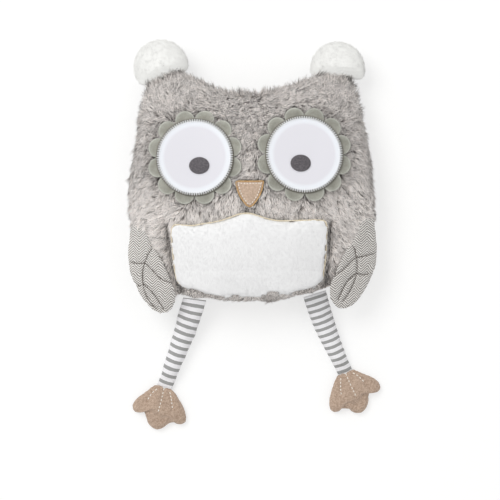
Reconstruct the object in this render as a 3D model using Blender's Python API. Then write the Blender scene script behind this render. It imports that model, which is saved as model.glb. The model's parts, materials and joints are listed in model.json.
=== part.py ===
# Plush owl lying on its back: a fur body with two ears, a felt and satin face, a belly panel,
# two woven wings, two striped legs, two webbed feet and two pompoms.
# Frame in metres: +X to the picture's right, +Y towards the head, +Z out of the belly.
# The origin is the middle of the flat that the back rests on.

import math

import bmesh
import bpy
import numpy as np
from mathutils import Vector
from mathutils.bvhtree import BVHTree

# Gaps between neighbouring pieces
CLEARANCE = 0.0003
HINGE_GAP = 0.0007
ANKLE_GAP = 0.00045
MERGE_SHARE = 0.01
SHARP_ANGLE = math.radians(50)
LOOP_STEPS = 12

# Body: half sizes of its outline, the side seam's height over the rest face, the front's swell
BODY_HALF_WIDTH = 0.128
BODY_HALF_HEIGHT = 0.1176
SEAM_HEIGHT = 0.038
BODY_CROWN = 0.050
FUR_THICKNESS = 0.005
REST_CUT = 0.0005
BODY_OUTLINE_SHARES = (
    (1.0, -0.14), (0.975, 0.09), (0.95, 0.30), (0.918, 0.52), (0.88, 0.73), (0.85, 0.87),
    (0.80, 0.96), (0.74, 1.0), (0.66, 1.01), (0.54, 0.99), (0.38, 0.94), (0.2, 0.885),
    (0.0, 0.85), (-0.2, 0.87), (-0.36, 0.92), (-0.49, 0.98), (-0.60, 1.013), (-0.71, 1.0),
    (-0.81, 0.945), (-0.87, 0.865), (-0.91, 0.71), (-0.93, 0.52), (-0.96, 0.30),
    (-0.99, 0.09), (-0.99, -0.14), (-0.98, -0.34), (-0.955, -0.51), (-0.91, -0.67),
    (-0.83, -0.81), (-0.69, -0.91), (-0.5, -0.96), (-0.28, -0.98), (0.0, -0.99),
    (0.27, -0.97), (0.49, -0.925), (0.67, -0.84), (0.82, -0.70), (0.92, -0.51),
    (0.98, -0.32))
BODY_POINTS = 56
OUTER_RING_SHARES = (1.0, 0.97, 0.9, 0.78, 0.6, 0.35)
INNER_RING_SHARES = (1.0, 0.95, 0.8, 0.5)
SEARCH_REACH = 0.003
SEARCH_STEPS = 6
FRONT_ROUND = 2.4
FRONT_EDGE = 0.62
BACK_ROUND = 3.5
BACK_EDGE = 0.65
CORNER_DROOP_SHARE = 1.1
CORNER_THIN_SHARE = 1.5

# Face: pieces sewn flat on the front, stacked with a seam allowance between them
SEWN_GAP = 0.0008
FELT_THICKNESS = 0.0012
FELT_PETALS = 12
FELT_PETAL_REACH = 0.036
FELT_PETAL_RADIUS = 0.012
FELT_POINTS_PER_PETAL = 4
FELT_RING_SHARES = (1.0, 0.91, 0.8, 0.58, 0.3)
STACK_GAP = 0.0008
EYE_RADIUS = 0.0386
EYE_THICKNESS = 0.002
EYE_CROWN = 0.001
EYE_POINTS = 32
EYE_RING_SHARES = (1.0, 0.8, 0.45)
EYE_PLACE_SHARES = {"left": (-0.462, 0.277), "right": (0.422, 0.303)}
PUPIL_HALF_WIDTH = 0.0105
PUPIL_HALF_HEIGHT = 0.00875
PUPIL_THICKNESS = 0.0008
PUPIL_POINTS = 20
PUPIL_RING_SHARES = (1.0, 0.5)
PUPIL_PLACE_SHARES = {"left": (0.125, -0.228), "right": (-0.104, -0.243)}
BEAK_WIDTH = 0.027
BEAK_LENGTH = 0.0255
BEAK_THICKNESS = 0.002
BEAK_CROWN = 0.0012
BEAK_BORDER_RADIUS = 0.001
BEAK_OUTLINE_SHARES = (
    (0.5, 0.0), (0.25, 0.01), (0.0, 0.01), (-0.25, 0.01), (-0.5, 0.0), (-0.46, -0.18),
    (-0.33, -0.5), (-0.2, -0.78), (-0.08, -0.97), (0.08, -0.97), (0.2, -0.78),
    (0.33, -0.5), (0.46, -0.18))
BEAK_POINTS = 24
BEAK_RING_SHARES = (1.0, 0.6)
BEAK_PLACE_SHARES = (-0.019, 0.06)

# Belly panel and the narrow cord along its top and sides
BELLY_SEWN_GAP = 0.0009
BELLY_EDGE = 0.002
BELLY_CROWN = 0.005
BELLY_FLATNESS = 4
BELLY_OUTLINE_SHARES = (
    (0.59, -0.286), (0.44, -0.274), (0.29, -0.279), (0.16, -0.271), (0.0, -0.22),
    (-0.072, -0.213), (-0.16, -0.244), (-0.27, -0.283), (-0.37, -0.30), (-0.49, -0.321),
    (-0.64, -0.325), (-0.646, -0.49), (-0.634, -0.65), (-0.62, -0.765), (-0.58, -0.85),
    (-0.463, -0.877), (-0.351, -0.915), (-0.26, -0.925), (-0.13, -0.918), (0.0, -0.93),
    (0.089, -0.925), (0.151, -0.885), (0.236, -0.905), (0.31, -0.915), (0.398, -0.883),
    (0.488, -0.845), (0.565, -0.80), (0.583, -0.72), (0.597, -0.597), (0.6, -0.431))
BELLY_POINTS = 44
BELLY_RING_SHARES = (1.0, 0.92, 0.78, 0.55, 0.28)
BELLY_CENTRE_SHARES = (-0.02, -0.6)
BELLY_CORD_RADIUS = 0.0008
BELLY_CORD_END_SHARE = -0.72

# Wings: two woven layers over a thin wadding, sewn into the side seam along their top edge
WING_WIDTH = 0.0504
WING_LENGTH = 0.0945
WING_SEWN_LENGTH = 0.019
WING_RISE = 0.036
WING_GAP = 0.001
WING_FABRIC = 0.0008
WING_WADDING = 0.0015
WING_OUTLINE_SHARES = (
    (0.0, 0.0), (0.12, 0.0), (0.25, 0.03), (0.35, 0.14), (0.46, 0.26), (0.56, 0.33),
    (0.69, 0.46), (0.79, 0.58), (0.88, 0.69), (0.92, 0.82), (0.88, 0.91), (0.75, 0.99),
    (0.62, 1.0), (0.44, 0.96), (0.27, 0.86), (0.12, 0.73), (0.0, 0.59), (-0.06, 0.44),
    (-0.06, 0.3), (-0.03, 0.14), (-0.01, 0.06))
WING_POINTS = 30
WING_RING_SHARES = (1.0, 0.82, 0.5)
WING_CENTRE_SHARES = (0.4, 0.55)
WING_TOP_SHARES = {"left": -0.295, "right": -0.251}
WING_ARCH_POWER = 0.9
WING_FALL_SHARE = 0.9

# Legs: a striped sleeve round a stuffing, sewn flat into the bottom seam and into the foot.
# Each section gives: place along, half width, half thickness and how far it has come down.
LEG_TOP_HALF_WIDTH = 0.0122
LEG_SLEEVE = 0.0008
LEG_SIDES = 14
LEG_SECTION_SHARES = (
    (0.0, 1.0, 0.045, 0.0), (0.05, 1.0, 0.12, 0.07), (0.13, 1.0, 0.5, 0.3),
    (0.24, 0.98, 0.82, 0.66), (0.38, 0.93, 0.91, 0.95), (0.6, 0.8, 0.8, 1.0),
    (0.82, 0.69, 0.69, 1.0), (0.92, 0.66, 0.42, 1.0), (1.0, 0.66, 0.06, 1.0))
LEG_THINNEST = 0.0002
LEG_SQUARE_SHARE = 0.25
LEG_SIDE = {
    "left": {"place_share": -0.468, "length": 0.1004, "lean": math.radians(19.3), "bow": 0.001},
    "right": {"place_share": 0.508, "length": 0.0912, "lean": math.radians(21.8), "bow": 0.002}}

# Feet: a sole and an upper with three toes round a thin filling
FOOT_LENGTH = 0.0437
FOOT_HALF_WIDTH = 0.0277
FOOT_SEAM_HEIGHT = 0.0055
FOOT_CROWN = 0.0075
FOOT_FABRIC = 0.0008
FOOT_ANKLE_TAPER = 0.012
FOOT_OUTLINE_SHARES = (
    (0.32, 0.0), (0.5, 0.11), (0.88, 0.33), (1.04, 0.48), (1.06, 0.61), (0.91, 0.68),
    (0.65, 0.66), (0.48, 0.75), (0.33, 0.91), (0.02, 1.02), (-0.22, 0.94), (-0.4, 0.81),
    (-0.59, 0.77), (-0.84, 0.79), (-1.02, 0.68), (-0.86, 0.42), (-0.56, 0.16),
    (-0.32, 0.0), (0.0, 0.008))
FOOT_POINTS = 36
FOOT_RING_SHARES = (1.0, 0.84, 0.5)
FOOT_CENTRE_SHARE = 0.5
FOOT_LEAN = {"left": math.radians(10.0), "right": math.radians(20.5)}

# Pompoms: a yarn ball seated on each ear tip by a stitched thread shank
POMPOM_RADIUS = 0.027
POMPOM_SEAT_ANGLE = math.radians(83)
POMPOM_BORE_RADIUS = 0.0016
POMPOM_BORE_DEPTH = 0.014
POMPOM_SEGMENTS = 22
POMPOM_ARC_STEPS = 9
TIE_RADIUS = 0.001
TIE_LENGTH = 0.012
TIE_GAP = 0.0004
TIE_SEGMENTS = 10
TIE_ARC_STEPS = 3
EAR_TIP_SHARES = {"left": (-0.715, 1.0), "right": (0.70, 1.01)}
POMPOM_OUT = {"left": 0.014, "right": 0.0102}
POMPOM_LEAN = {"left": math.radians(18.7), "right": math.radians(4.6)}

# Finishes: base colour and roughness
FINISHES = {
    "fur": ((0.48, 0.468, 0.45), 0.95),
    "stuffing": ((0.85, 0.85, 0.84), 1.0),
    "white_plush": ((0.84, 0.84, 0.84), 0.95),
    "pompom_yarn": ((0.9, 0.9, 0.87), 0.95),
    "felt": ((0.305, 0.314, 0.254), 0.95),
    "eye_satin": ((0.82, 0.81, 0.85), 0.6),
    "pupil_thread": ((0.12, 0.11, 0.12), 0.8),
    "linen": ((0.546, 0.429, 0.352), 0.9),
    "gold_thread": ((0.578, 0.352, 0.102), 0.6),
    "woven_grey": ((0.578, 0.558, 0.533), 0.9),
    "striped_jersey": ((0.55, 0.55, 0.56), 0.9),
    "foot_linen": ((0.485, 0.366, 0.283), 0.9),
    "thread": ((0.8, 0.8, 0.78), 0.8),
}


def clear_scene():
    for item in list(bpy.data.objects):
        bpy.data.objects.remove(item)


def finish(name):
    material = bpy.data.materials.get(name) or bpy.data.materials.new(name)
    material.use_nodes = True
    shader = material.node_tree.nodes["Principled BSDF"]
    colour, roughness = FINISHES[name]
    shader.inputs["Base Color"].default_value = (*colour, 1)
    shader.inputs["Roughness"].default_value = roughness
    shader.inputs["Metallic"].default_value = 0
    return material


# Closes a bmesh into an object whose origin is at the given point
def place(name, shape, finish_name, origin=(0, 0, 0)):
    bmesh.ops.recalc_face_normals(shape, faces=shape.faces)
    bmesh.ops.translate(shape, verts=shape.verts, vec=-Vector(origin))
    mesh = bpy.data.meshes.new(name)
    shape.to_mesh(mesh)
    shape.free()
    mesh.shade_smooth()
    mesh.set_sharp_from_angle(angle=SHARP_ANGLE)
    mesh.materials.append(finish(finish_name))
    item = bpy.data.objects.new(name, mesh)
    item.location = origin
    bpy.context.scene.collection.objects.link(item)
    return item


# A smooth closed curve through the corners, sampled at even steps, counterclockwise
def smooth_loop(corners, count):
    corner = np.array(corners, dtype=float)
    dense = []
    for i in range(len(corner)):
        a, b, c, d = (corner[(i + k) % len(corner)] for k in (-1, 0, 1, 2))
        for t in np.linspace(0, 1, LOOP_STEPS, endpoint=False):
            bend = (2 * a - 5 * b + 4 * c - d) * t ** 2 + (3 * b - a - 3 * c + d) * t ** 3
            dense.append((2 * b + (c - a) * t + bend) / 2)
    dense = np.array(dense + [dense[0]])
    run = np.concatenate([[0], np.cumsum(np.linalg.norm(np.diff(dense, axis=0), axis=1))])
    at = np.linspace(0, run[-1], count, endpoint=False)
    loop = np.column_stack([np.interp(at, run, dense[:, k]) for k in (0, 1)])
    ahead = np.roll(loop, -1, axis=0)
    turning = np.sum(loop[:, 0] * ahead[:, 1] - loop[:, 1] * ahead[:, 0])
    return loop if turning > 0 else loop[::-1]


def sized(shares, width, height):
    return np.array(shares) * (width, height)


# Joins a ring to the next one inwards, or to the single point in the middle
def join_rings(shape, outer, inner):
    count = len(outer)
    for i in range(count):
        j = (i + 1) % count
        if len(inner) == 1:
            shape.faces.new((outer[i], outer[j], inner[0]))
        else:
            shape.faces.new((outer[i], outer[j], inner[j]))
            shape.faces.new((outer[i], inner[j], inner[i]))


# A closed pad from two stacks of rings, outermost ring first and the middle point last
def pad(name, upper, lower, finish_name, origin=(0, 0, 0)):
    shape = bmesh.new()
    top = [[shape.verts.new(point) for point in ring] for ring in upper]
    low = [[shape.verts.new(point) for point in ring] for ring in lower]
    for stack in (top, low):
        for outer, inner in zip(stack, stack[1:]):
            join_rings(shape, outer, inner)
    join_rings(shape, low[0], top[0])
    return place(name, shape, finish_name, origin)


# Rings of a flat outline shrunk towards a centre, each point lifted by height(x, y, share)
def lifted_rings(loop, centre, ring_shares, height):
    rings = []
    for share in ring_shares:
        ring = centre + (loop - centre) * share
        rings.append([(x, y, height(x, y, share)) for x, y in ring])
    x, y = centre
    rings.append([(x, y, height(x, y, 0))])
    return rings


# A turned solid: the profile's points are (distance from the axis, distance along it)
def turned(name, profile, segments, base, axis, finish_name):
    shape = bmesh.new()
    points = [shape.verts.new((radius, 0, along)) for radius, along in profile]
    edges = [shape.edges.new(pair) for pair in zip(points, points[1:])]
    bmesh.ops.spin(shape, geom=points + edges, cent=(0, 0, 0), axis=(0, 0, 1),
                   angle=math.tau, steps=segments, use_merge=True, use_duplicate=False)
    bmesh.ops.remove_doubles(shape, verts=shape.verts, dist=CLEARANCE * MERGE_SHARE)
    bmesh.ops.dissolve_degenerate(shape, edges=shape.edges, dist=CLEARANCE * MERGE_SHARE)
    item = place(name, shape, finish_name)
    item.rotation_mode = "QUATERNION"
    item.rotation_quaternion = Vector(axis).to_track_quat("Z", "Y")
    item.location = base
    return item


# A round cord along the given points
def cord(name, points, radius, finish_name, closed):
    curve = bpy.data.curves.new(name, "CURVE")
    curve.dimensions = "3D"
    curve.bevel_depth = radius
    curve.bevel_resolution = 1
    curve.use_fill_caps = not closed
    spline = curve.splines.new("POLY")
    spline.points.add(len(points) - 1)
    for target, point in zip(spline.points, points):
        target.co = (*point, 1)
    spline.use_cyclic_u = closed
    curve.materials.append(finish(finish_name))
    item = bpy.data.objects.new(name, curve)
    bpy.context.scene.collection.objects.link(item)
    return item


BODY_LOOP = smooth_loop(sized(BODY_OUTLINE_SHARES, BODY_HALF_WIDTH, BODY_HALF_HEIGHT),
                        BODY_POINTS)
BODY_RADII = np.linalg.norm(BODY_LOOP, axis=1)
BODY_ANGLES = np.arctan2(BODY_LOOP[:, 1], BODY_LOOP[:, 0])
BODY_MEAN_RADIUS = (BODY_HALF_WIDTH + BODY_HALF_HEIGHT) / 2


# How far the outline stands out at a corner of the cushion, against the mean radius
def corner_at(radius):
    return max(0.0, radius / BODY_MEAN_RADIUS - 1)


# Height of the body's front (side 1) or back (side -1) at a share of the way to its edge
def body_height(share, radius, inset, side):
    corner = corner_at(radius) * share ** 2
    middle = SEAM_HEIGHT * (1 - CORNER_DROOP_SHARE * corner) + side * CLEARANCE / 2
    thin = 1 - CORNER_THIN_SHARE * corner
    if side > 0:
        swell = (1 - share ** FRONT_ROUND) ** FRONT_EDGE
        return middle + (BODY_CROWN - inset) * swell * thin
    swell = (1 - share ** BACK_ROUND) ** BACK_EDGE
    return max(middle - (SEAM_HEIGHT + REST_CUT - inset) * swell * thin, inset)


def body_rings(side, inset, ring_shares):
    rings = []
    for share in ring_shares:
        ring = []
        for (x, y), radius in zip(BODY_LOOP, BODY_RADII):
            reach = share * (radius - inset) / radius
            ring.append((x * reach, y * reach, body_height(share, radius, inset, side)))
        rings.append(ring)
    rings.append([(0, 0, body_height(0, BODY_MEAN_RADIUS, inset, side))])
    return rings


def outline_share(x, y):
    radius = np.interp(math.atan2(y, x), BODY_ANGLES, BODY_RADII, period=math.tau)
    return math.hypot(x, y) / radius, radius


# The faceted front as a search tree, so that sewn pieces follow its real surface
def front_tree():
    rings = body_rings(1, 0, OUTER_RING_SHARES)
    points = [point for ring in rings for point in ring]
    middle = len(points) - 1
    faces = []
    for level in range(len(OUTER_RING_SHARES) - 1):
        for i in range(BODY_POINTS):
            a = level * BODY_POINTS + i
            b = level * BODY_POINTS + (i + 1) % BODY_POINTS
            faces += [(a, b, b + BODY_POINTS), (a, b + BODY_POINTS, a + BODY_POINTS)]
    inmost = middle - BODY_POINTS
    faces += [(inmost + i, inmost + (i + 1) % BODY_POINTS, middle) for i in range(BODY_POINTS)]
    return BVHTree.FromPolygons(points, faces)


FRONT_TREE = front_tree()


def smooth_front(x, y):
    share, radius = outline_share(x, y)
    return body_height(min(share, 1.0), radius, 0, 1)


# The smooth front, raised by what its facets stand out round the point
def front_height(x, y):
    excess = 0.0
    for turn in np.arange(SEARCH_STEPS) * math.tau / SEARCH_STEPS:
        for reach in (0, SEARCH_REACH):
            near = (x + reach * math.cos(turn), y + reach * math.sin(turn))
            above = Vector((*near, SEAM_HEIGHT + BODY_CROWN + SEARCH_REACH))
            hit = FRONT_TREE.ray_cast(above, Vector((0, 0, -1)))[0]
            if hit:
                excess = max(excess, hit.z - smooth_front(*near))
    return smooth_front(x, y) + excess


def seam_height(x, y):
    return body_height(1.0, math.hypot(x, y), 0, 1)


# Both halves of the fur body and the stuffing between them
def make_body():
    inner = FUR_THICKNESS
    core = FUR_THICKNESS + CLEARANCE
    pad("body_front", body_rings(1, 0, OUTER_RING_SHARES),
        body_rings(1, inner, INNER_RING_SHARES), "fur")
    pad("body_back", body_rings(-1, inner, INNER_RING_SHARES),
        body_rings(-1, 0, OUTER_RING_SHARES), "fur")
    pad("body_stuffing", body_rings(1, core, INNER_RING_SHARES),
        body_rings(-1, core, INNER_RING_SHARES), "stuffing")


# Outline of the felt flower round an eye, with a valley at the very top
def petal_loop(centre):
    step = math.tau / FELT_PETALS
    loop = []
    for petal in range(FELT_PETALS):
        middle = math.pi / 2 + step * (petal + 0.5)
        for k in range(FELT_POINTS_PER_PETAL):
            turn = step * (k / FELT_POINTS_PER_PETAL - 0.5)
            across = FELT_PETAL_REACH * math.sin(turn)
            radius = FELT_PETAL_REACH * math.cos(turn)
            radius += math.sqrt(FELT_PETAL_RADIUS ** 2 - across ** 2)
            loop.append((radius * math.cos(middle + turn), radius * math.sin(middle + turn)))
    return centre + np.array(loop)


def ellipse_loop(centre, half_width, half_height, count):
    turns = np.arange(count) * math.tau / count
    return centre + np.column_stack([half_width * np.cos(turns), half_height * np.sin(turns)])


def make_eye(side):
    centre = sized(EYE_PLACE_SHARES[side], BODY_HALF_WIDTH, BODY_HALF_HEIGHT)
    felt_top = SEWN_GAP + FELT_THICKNESS

    def on_body(rise):
        return lambda x, y, share: front_height(x, y) + rise

    def eye_top(x, y, share):
        away = math.hypot(x - centre[0], y - centre[1]) / EYE_RADIUS
        crown = EYE_CROWN * max(0.0, 1 - away ** 2)
        return front_height(x, y) + felt_top + STACK_GAP + EYE_THICKNESS + crown

    petals = petal_loop(centre)
    pad("eye_felt_" + side, lifted_rings(petals, centre, FELT_RING_SHARES, on_body(felt_top)),
        lifted_rings(petals, centre, FELT_RING_SHARES, on_body(SEWN_GAP)), "felt")
    disc = ellipse_loop(centre, EYE_RADIUS, EYE_RADIUS, EYE_POINTS)
    pad("eye_white_" + side, lifted_rings(disc, centre, EYE_RING_SHARES, eye_top),
        lifted_rings(disc, centre, EYE_RING_SHARES, on_body(felt_top + STACK_GAP)), "eye_satin")
    middle = centre + np.array(PUPIL_PLACE_SHARES[side]) * EYE_RADIUS
    pupil = ellipse_loop(middle, PUPIL_HALF_WIDTH, PUPIL_HALF_HEIGHT, PUPIL_POINTS)

    def over_eye(rise):
        return lambda x, y, share: eye_top(x, y, share) + rise

    pad("pupil_" + side,
        lifted_rings(pupil, middle, PUPIL_RING_SHARES, over_eye(STACK_GAP + PUPIL_THICKNESS)),
        lifted_rings(pupil, middle, PUPIL_RING_SHARES, over_eye(STACK_GAP)), "pupil_thread")


# Moves each point of a loop outwards by a distance, along the loop's own normal
def grown_loop(loop, distance):
    ahead = np.roll(loop, -1, axis=0) - np.roll(loop, 1, axis=0)
    outward = np.column_stack([ahead[:, 1], -ahead[:, 0]])
    return loop + outward / np.linalg.norm(outward, axis=1)[:, None] * distance


def make_beak():
    top = sized(BEAK_PLACE_SHARES, BODY_HALF_WIDTH, BODY_HALF_HEIGHT)
    loop = top + smooth_loop(sized(BEAK_OUTLINE_SHARES, BEAK_WIDTH, BEAK_LENGTH), BEAK_POINTS)
    centre = loop.mean(axis=0)

    def upper(x, y, share):
        return front_height(x, y) + SEWN_GAP + BEAK_THICKNESS + BEAK_CROWN * (1 - share)

    def lower(x, y, share):
        return front_height(x, y) + SEWN_GAP

    pad("beak", lifted_rings(loop, centre, BEAK_RING_SHARES, upper),
        lifted_rings(loop, centre, BEAK_RING_SHARES, lower), "linen")
    border = grown_loop(loop, BEAK_BORDER_RADIUS + CLEARANCE)
    rise = SEWN_GAP + BEAK_BORDER_RADIUS
    cord("beak_border", [(x, y, front_height(x, y) + rise) for x, y in border],
         BEAK_BORDER_RADIUS, "gold_thread", True)


def make_belly():
    loop = smooth_loop(sized(BELLY_OUTLINE_SHARES, BODY_HALF_WIDTH, BODY_HALF_HEIGHT),
                       BELLY_POINTS)
    centre = sized(BELLY_CENTRE_SHARES, BODY_HALF_WIDTH, BODY_HALF_HEIGHT)

    def upper(x, y, share):
        crown = BELLY_CROWN * math.sqrt(1 - share ** BELLY_FLATNESS)
        return front_height(x, y) + BELLY_SEWN_GAP + BELLY_EDGE + crown

    def lower(x, y, share):
        return front_height(x, y) + BELLY_SEWN_GAP

    pad("belly_panel", lifted_rings(loop, centre, BELLY_RING_SHARES, upper),
        lifted_rings(loop, centre, BELLY_RING_SHARES, lower), "white_plush")
    trim = grown_loop(loop, BELLY_CORD_RADIUS + CLEARANCE)
    kept = trim[:, 1] > BELLY_CORD_END_SHARE * BODY_HALF_HEIGHT
    start = next(i for i in range(len(kept)) if kept[i] and not kept[i - 1])
    run = [trim[(start + i) % len(trim)] for i in range(int(kept.sum()))]
    rise = SEWN_GAP + BELLY_CORD_RADIUS
    cord("belly_cord", [(x, y, front_height(x, y) + rise) for x, y in run],
         BELLY_CORD_RADIUS, "gold_thread", False)


# The side seam's line where a wing is sewn in: a point on it, just outside the body
def wing_hinge(side):
    sign = -1 if side == "left" else 1
    top = WING_TOP_SHARES[side] * BODY_HALF_HEIGHT
    flank = BODY_LOOP[BODY_LOOP[:, 0] * sign > BODY_HALF_WIDTH / 2]
    flank = flank[np.argsort(flank[:, 1])]
    sewn = np.linspace(top - WING_SEWN_LENGTH, top, LOOP_STEPS)
    edge = np.interp(sewn, flank[:, 1], flank[:, 0] * sign).max() + HINGE_GAP
    return Vector((sign * edge, top - WING_SEWN_LENGTH / 2, SEAM_HEIGHT)), sign, top


def make_wing(side):
    hinge, sign, top = wing_hinge(side)
    shares = sized(WING_OUTLINE_SHARES, WING_WIDTH, WING_LENGTH)
    flip = np.array((-sign, -1))
    corner = np.array((hinge.x, top))
    loop = smooth_loop(corner + shares * flip, WING_POINTS)
    centre = corner + sized(WING_CENTRE_SHARES, WING_WIDTH, WING_LENGTH) * flip

    # A stiff arch from the seam inwards, falling towards the tip, and lifted over the body
    def underside(x, y):
        inboard = (hinge.x - x) * sign / WING_WIDTH
        down = (top - y) / WING_LENGTH
        rise = inboard if inboard < 0 else inboard ** WING_ARCH_POWER
        arch = SEAM_HEIGHT + WING_RISE * rise * (1 - WING_FALL_SHARE * max(down, 0.0) ** 2)
        share, _ = outline_share(x, y)
        return max(arch, front_height(x, y) + WING_GAP) if share < 1 else arch

    def layer(rise, puff):
        return lambda x, y, share: underside(x, y) + rise + (puff if share < 1 else 0)

    puff = WING_WADDING + CLEARANCE
    over = WING_FABRIC + CLEARANCE
    rings = WING_RING_SHARES
    pad("wing_back_" + side, lifted_rings(loop, centre, rings, layer(WING_FABRIC, 0)),
        lifted_rings(loop, centre, rings, layer(0, 0)), "woven_grey", hinge)
    pad("wing_front_" + side, lifted_rings(loop, centre, rings, layer(over + WING_FABRIC, puff)),
        lifted_rings(loop, centre, rings, layer(over, puff)), "woven_grey", hinge)
    pad("wing_wadding_" + side,
        lifted_rings(loop, centre, rings[1:], layer(over, WING_WADDING)),
        lifted_rings(loop, centre, rings[1:], layer(over, 0)), "stuffing", hinge)


# The bottom seam's line where a leg is sewn in: its middle, its direction along the seam
def leg_hinge(side):
    middle = LEG_SIDE[side]["place_share"] * BODY_HALF_WIDTH
    bottom = BODY_LOOP[BODY_LOOP[:, 1] < -BODY_HALF_HEIGHT / 2]
    bottom = bottom[np.argsort(bottom[:, 0])]
    ends = [np.array((x, np.interp(x, bottom[:, 0], bottom[:, 1])))
            for x in (middle - LEG_TOP_HALF_WIDTH, middle + LEG_TOP_HALF_WIDTH)]
    along = (ends[0] - ends[1]) / np.linalg.norm(ends[0] - ends[1])
    outward = np.array((along[1], -along[0]))
    outward = outward if outward[1] < 0 else -outward
    within = bottom[abs(bottom[:, 0] - middle) < LEG_TOP_HALF_WIDTH]
    bulge = max([0.0] + [float((point - ends[0]) @ outward) for point in within])
    place_xy = (ends[0] + ends[1]) / 2 + outward * (bulge + HINGE_GAP)
    height = seam_height(*place_xy) - CLEARANCE / 2
    return Vector((*place_xy, height)), Vector((*along, 0))


def ankle_hinge(side):
    hip, _ = leg_hinge(side)
    leg = LEG_SIDE[side]
    way = leg_way(side)
    return Vector((hip.x, hip.y, FOOT_SEAM_HEIGHT)) + way * (leg["length"] + CLEARANCE + ANKLE_GAP)


# Unit direction of a leg over the ground
def leg_way(side):
    lean = LEG_SIDE[side]["lean"] * (-1 if side == "left" else 1)
    return Vector((math.sin(lean), -math.cos(lean), 0))


# Oval sections from the hip to the ankle, drawn in by an inset
def leg_rings(side, inset, sections):
    hip, seam = leg_hinge(side)
    leg = LEG_SIDE[side]
    way = leg_way(side)
    square = Vector((way.y, -way.x, 0))
    square = square if square.x < 0 else -square
    inward = square if side == "right" else -square
    rings = []
    for along, width, depth, drop in sections:
        across = seam.lerp(square, min(1.0, along / LEG_SQUARE_SHARE)).normalized()
        half_width = LEG_TOP_HALF_WIDTH * width - inset
        half_depth = max(LEG_TOP_HALF_WIDTH * depth - inset, LEG_THINNEST)
        low = max(LEG_TOP_HALF_WIDTH * depth, FOOT_SEAM_HEIGHT)
        middle = Vector((hip.x, hip.y, hip.z + (low - hip.z) * drop))
        middle += way * (leg["length"] * along + CLEARANCE)
        middle += inward * leg["bow"] * math.sin(math.pi * along)
        turns = [math.tau * k / LEG_SIDES for k in range(LEG_SIDES)]
        rings.append([middle + across * half_width * math.cos(turn)
                      + Vector((0, 0, half_depth * math.sin(turn))) for turn in turns])
    return rings


# A fabric sleeve open at both sewn ends, and the stuffing inside it
def make_leg(side):
    hip, _ = leg_hinge(side)
    shape = bmesh.new()
    outer = [[shape.verts.new(p) for p in ring] for ring in leg_rings(side, 0, LEG_SECTION_SHARES)]
    inner = [[shape.verts.new(p) for p in ring]
             for ring in leg_rings(side, LEG_SLEEVE, LEG_SECTION_SHARES)]
    for tube in (outer, inner):
        for ring, following in zip(tube, tube[1:]):
            join_rings(shape, ring, following)
    join_rings(shape, outer[0], inner[0])
    join_rings(shape, outer[-1], inner[-1])
    place("leg_sleeve_" + side, shape, "striped_jersey", hip)

    shape = bmesh.new()
    core = [[shape.verts.new(p) for p in ring]
            for ring in leg_rings(side, LEG_SLEEVE + CLEARANCE, LEG_SECTION_SHARES[2:-1])]
    for ring, following in zip(core, core[1:]):
        join_rings(shape, ring, following)
    for end in (core[0], core[-1]):
        middle = sum((vert.co for vert in end), Vector()) / len(end)
        join_rings(shape, end, [shape.verts.new(middle)])
    place("leg_stuffing_" + side, shape, "stuffing", hip)


def make_foot(side):
    ankle = ankle_hinge(side)
    lean = FOOT_LEAN[side] * (-1 if side == "left" else 1)
    toes = np.array((math.sin(lean), -math.cos(lean)))
    across = np.array((-toes[1], toes[0])) * (-1 if side == "left" else 1)
    start = np.array((ankle.x, ankle.y))
    flat = sized(FOOT_OUTLINE_SHARES, FOOT_HALF_WIDTH, FOOT_LENGTH)
    # The ankle end lies along the leg's end, and turns to the toes' way further on
    way = leg_way(side)
    ankle_across = np.array((-way.y, way.x)) * (-1 if side == "left" else 1)
    corners = []
    for u, v in flat:
        turned_in = min(v / FOOT_ANKLE_TAPER, 1.0)
        corners.append(start + (ankle_across + (across - ankle_across) * turned_in) * u
                       + toes * (v + ANKLE_GAP))
    loop = smooth_loop(corners, FOOT_POINTS)
    centre = start + toes * FOOT_CENTRE_SHARE * FOOT_LENGTH

    def swell(x, y, share):
        along = (np.array((x, y)) - start) @ toes
        taper = min(max(along / FOOT_ANKLE_TAPER, 0.0), 1.0)
        return (1 - share ** FRONT_ROUND) ** FRONT_EDGE * taper

    def below(rise):
        depth = FOOT_SEAM_HEIGHT + REST_CUT - FOOT_FABRIC
        floor = FOOT_FABRIC + rise

        def height(x, y, share):
            level = FOOT_SEAM_HEIGHT - CLEARANCE / 2 - depth * swell(x, y, share)
            return max(level + rise, floor)
        return height

    def above(rise):
        def height(x, y, share):
            level = FOOT_SEAM_HEIGHT + CLEARANCE / 2 + FOOT_CROWN * swell(x, y, share)
            return level + rise
        return height

    rings = FOOT_RING_SHARES
    pad("foot_sole_" + side, lifted_rings(loop, centre, rings, below(0)),
        lifted_rings(loop, centre, rings, below(-FOOT_FABRIC)), "foot_linen", ankle)
    pad("foot_upper_" + side, lifted_rings(loop, centre, rings, above(FOOT_FABRIC)),
        lifted_rings(loop, centre, rings, above(0)), "foot_linen", ankle)
    pad("foot_filling_" + side, lifted_rings(loop, centre, rings[1:], above(-CLEARANCE)),
        lifted_rings(loop, centre, rings[1:], below(CLEARANCE)), "stuffing", ankle)


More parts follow.
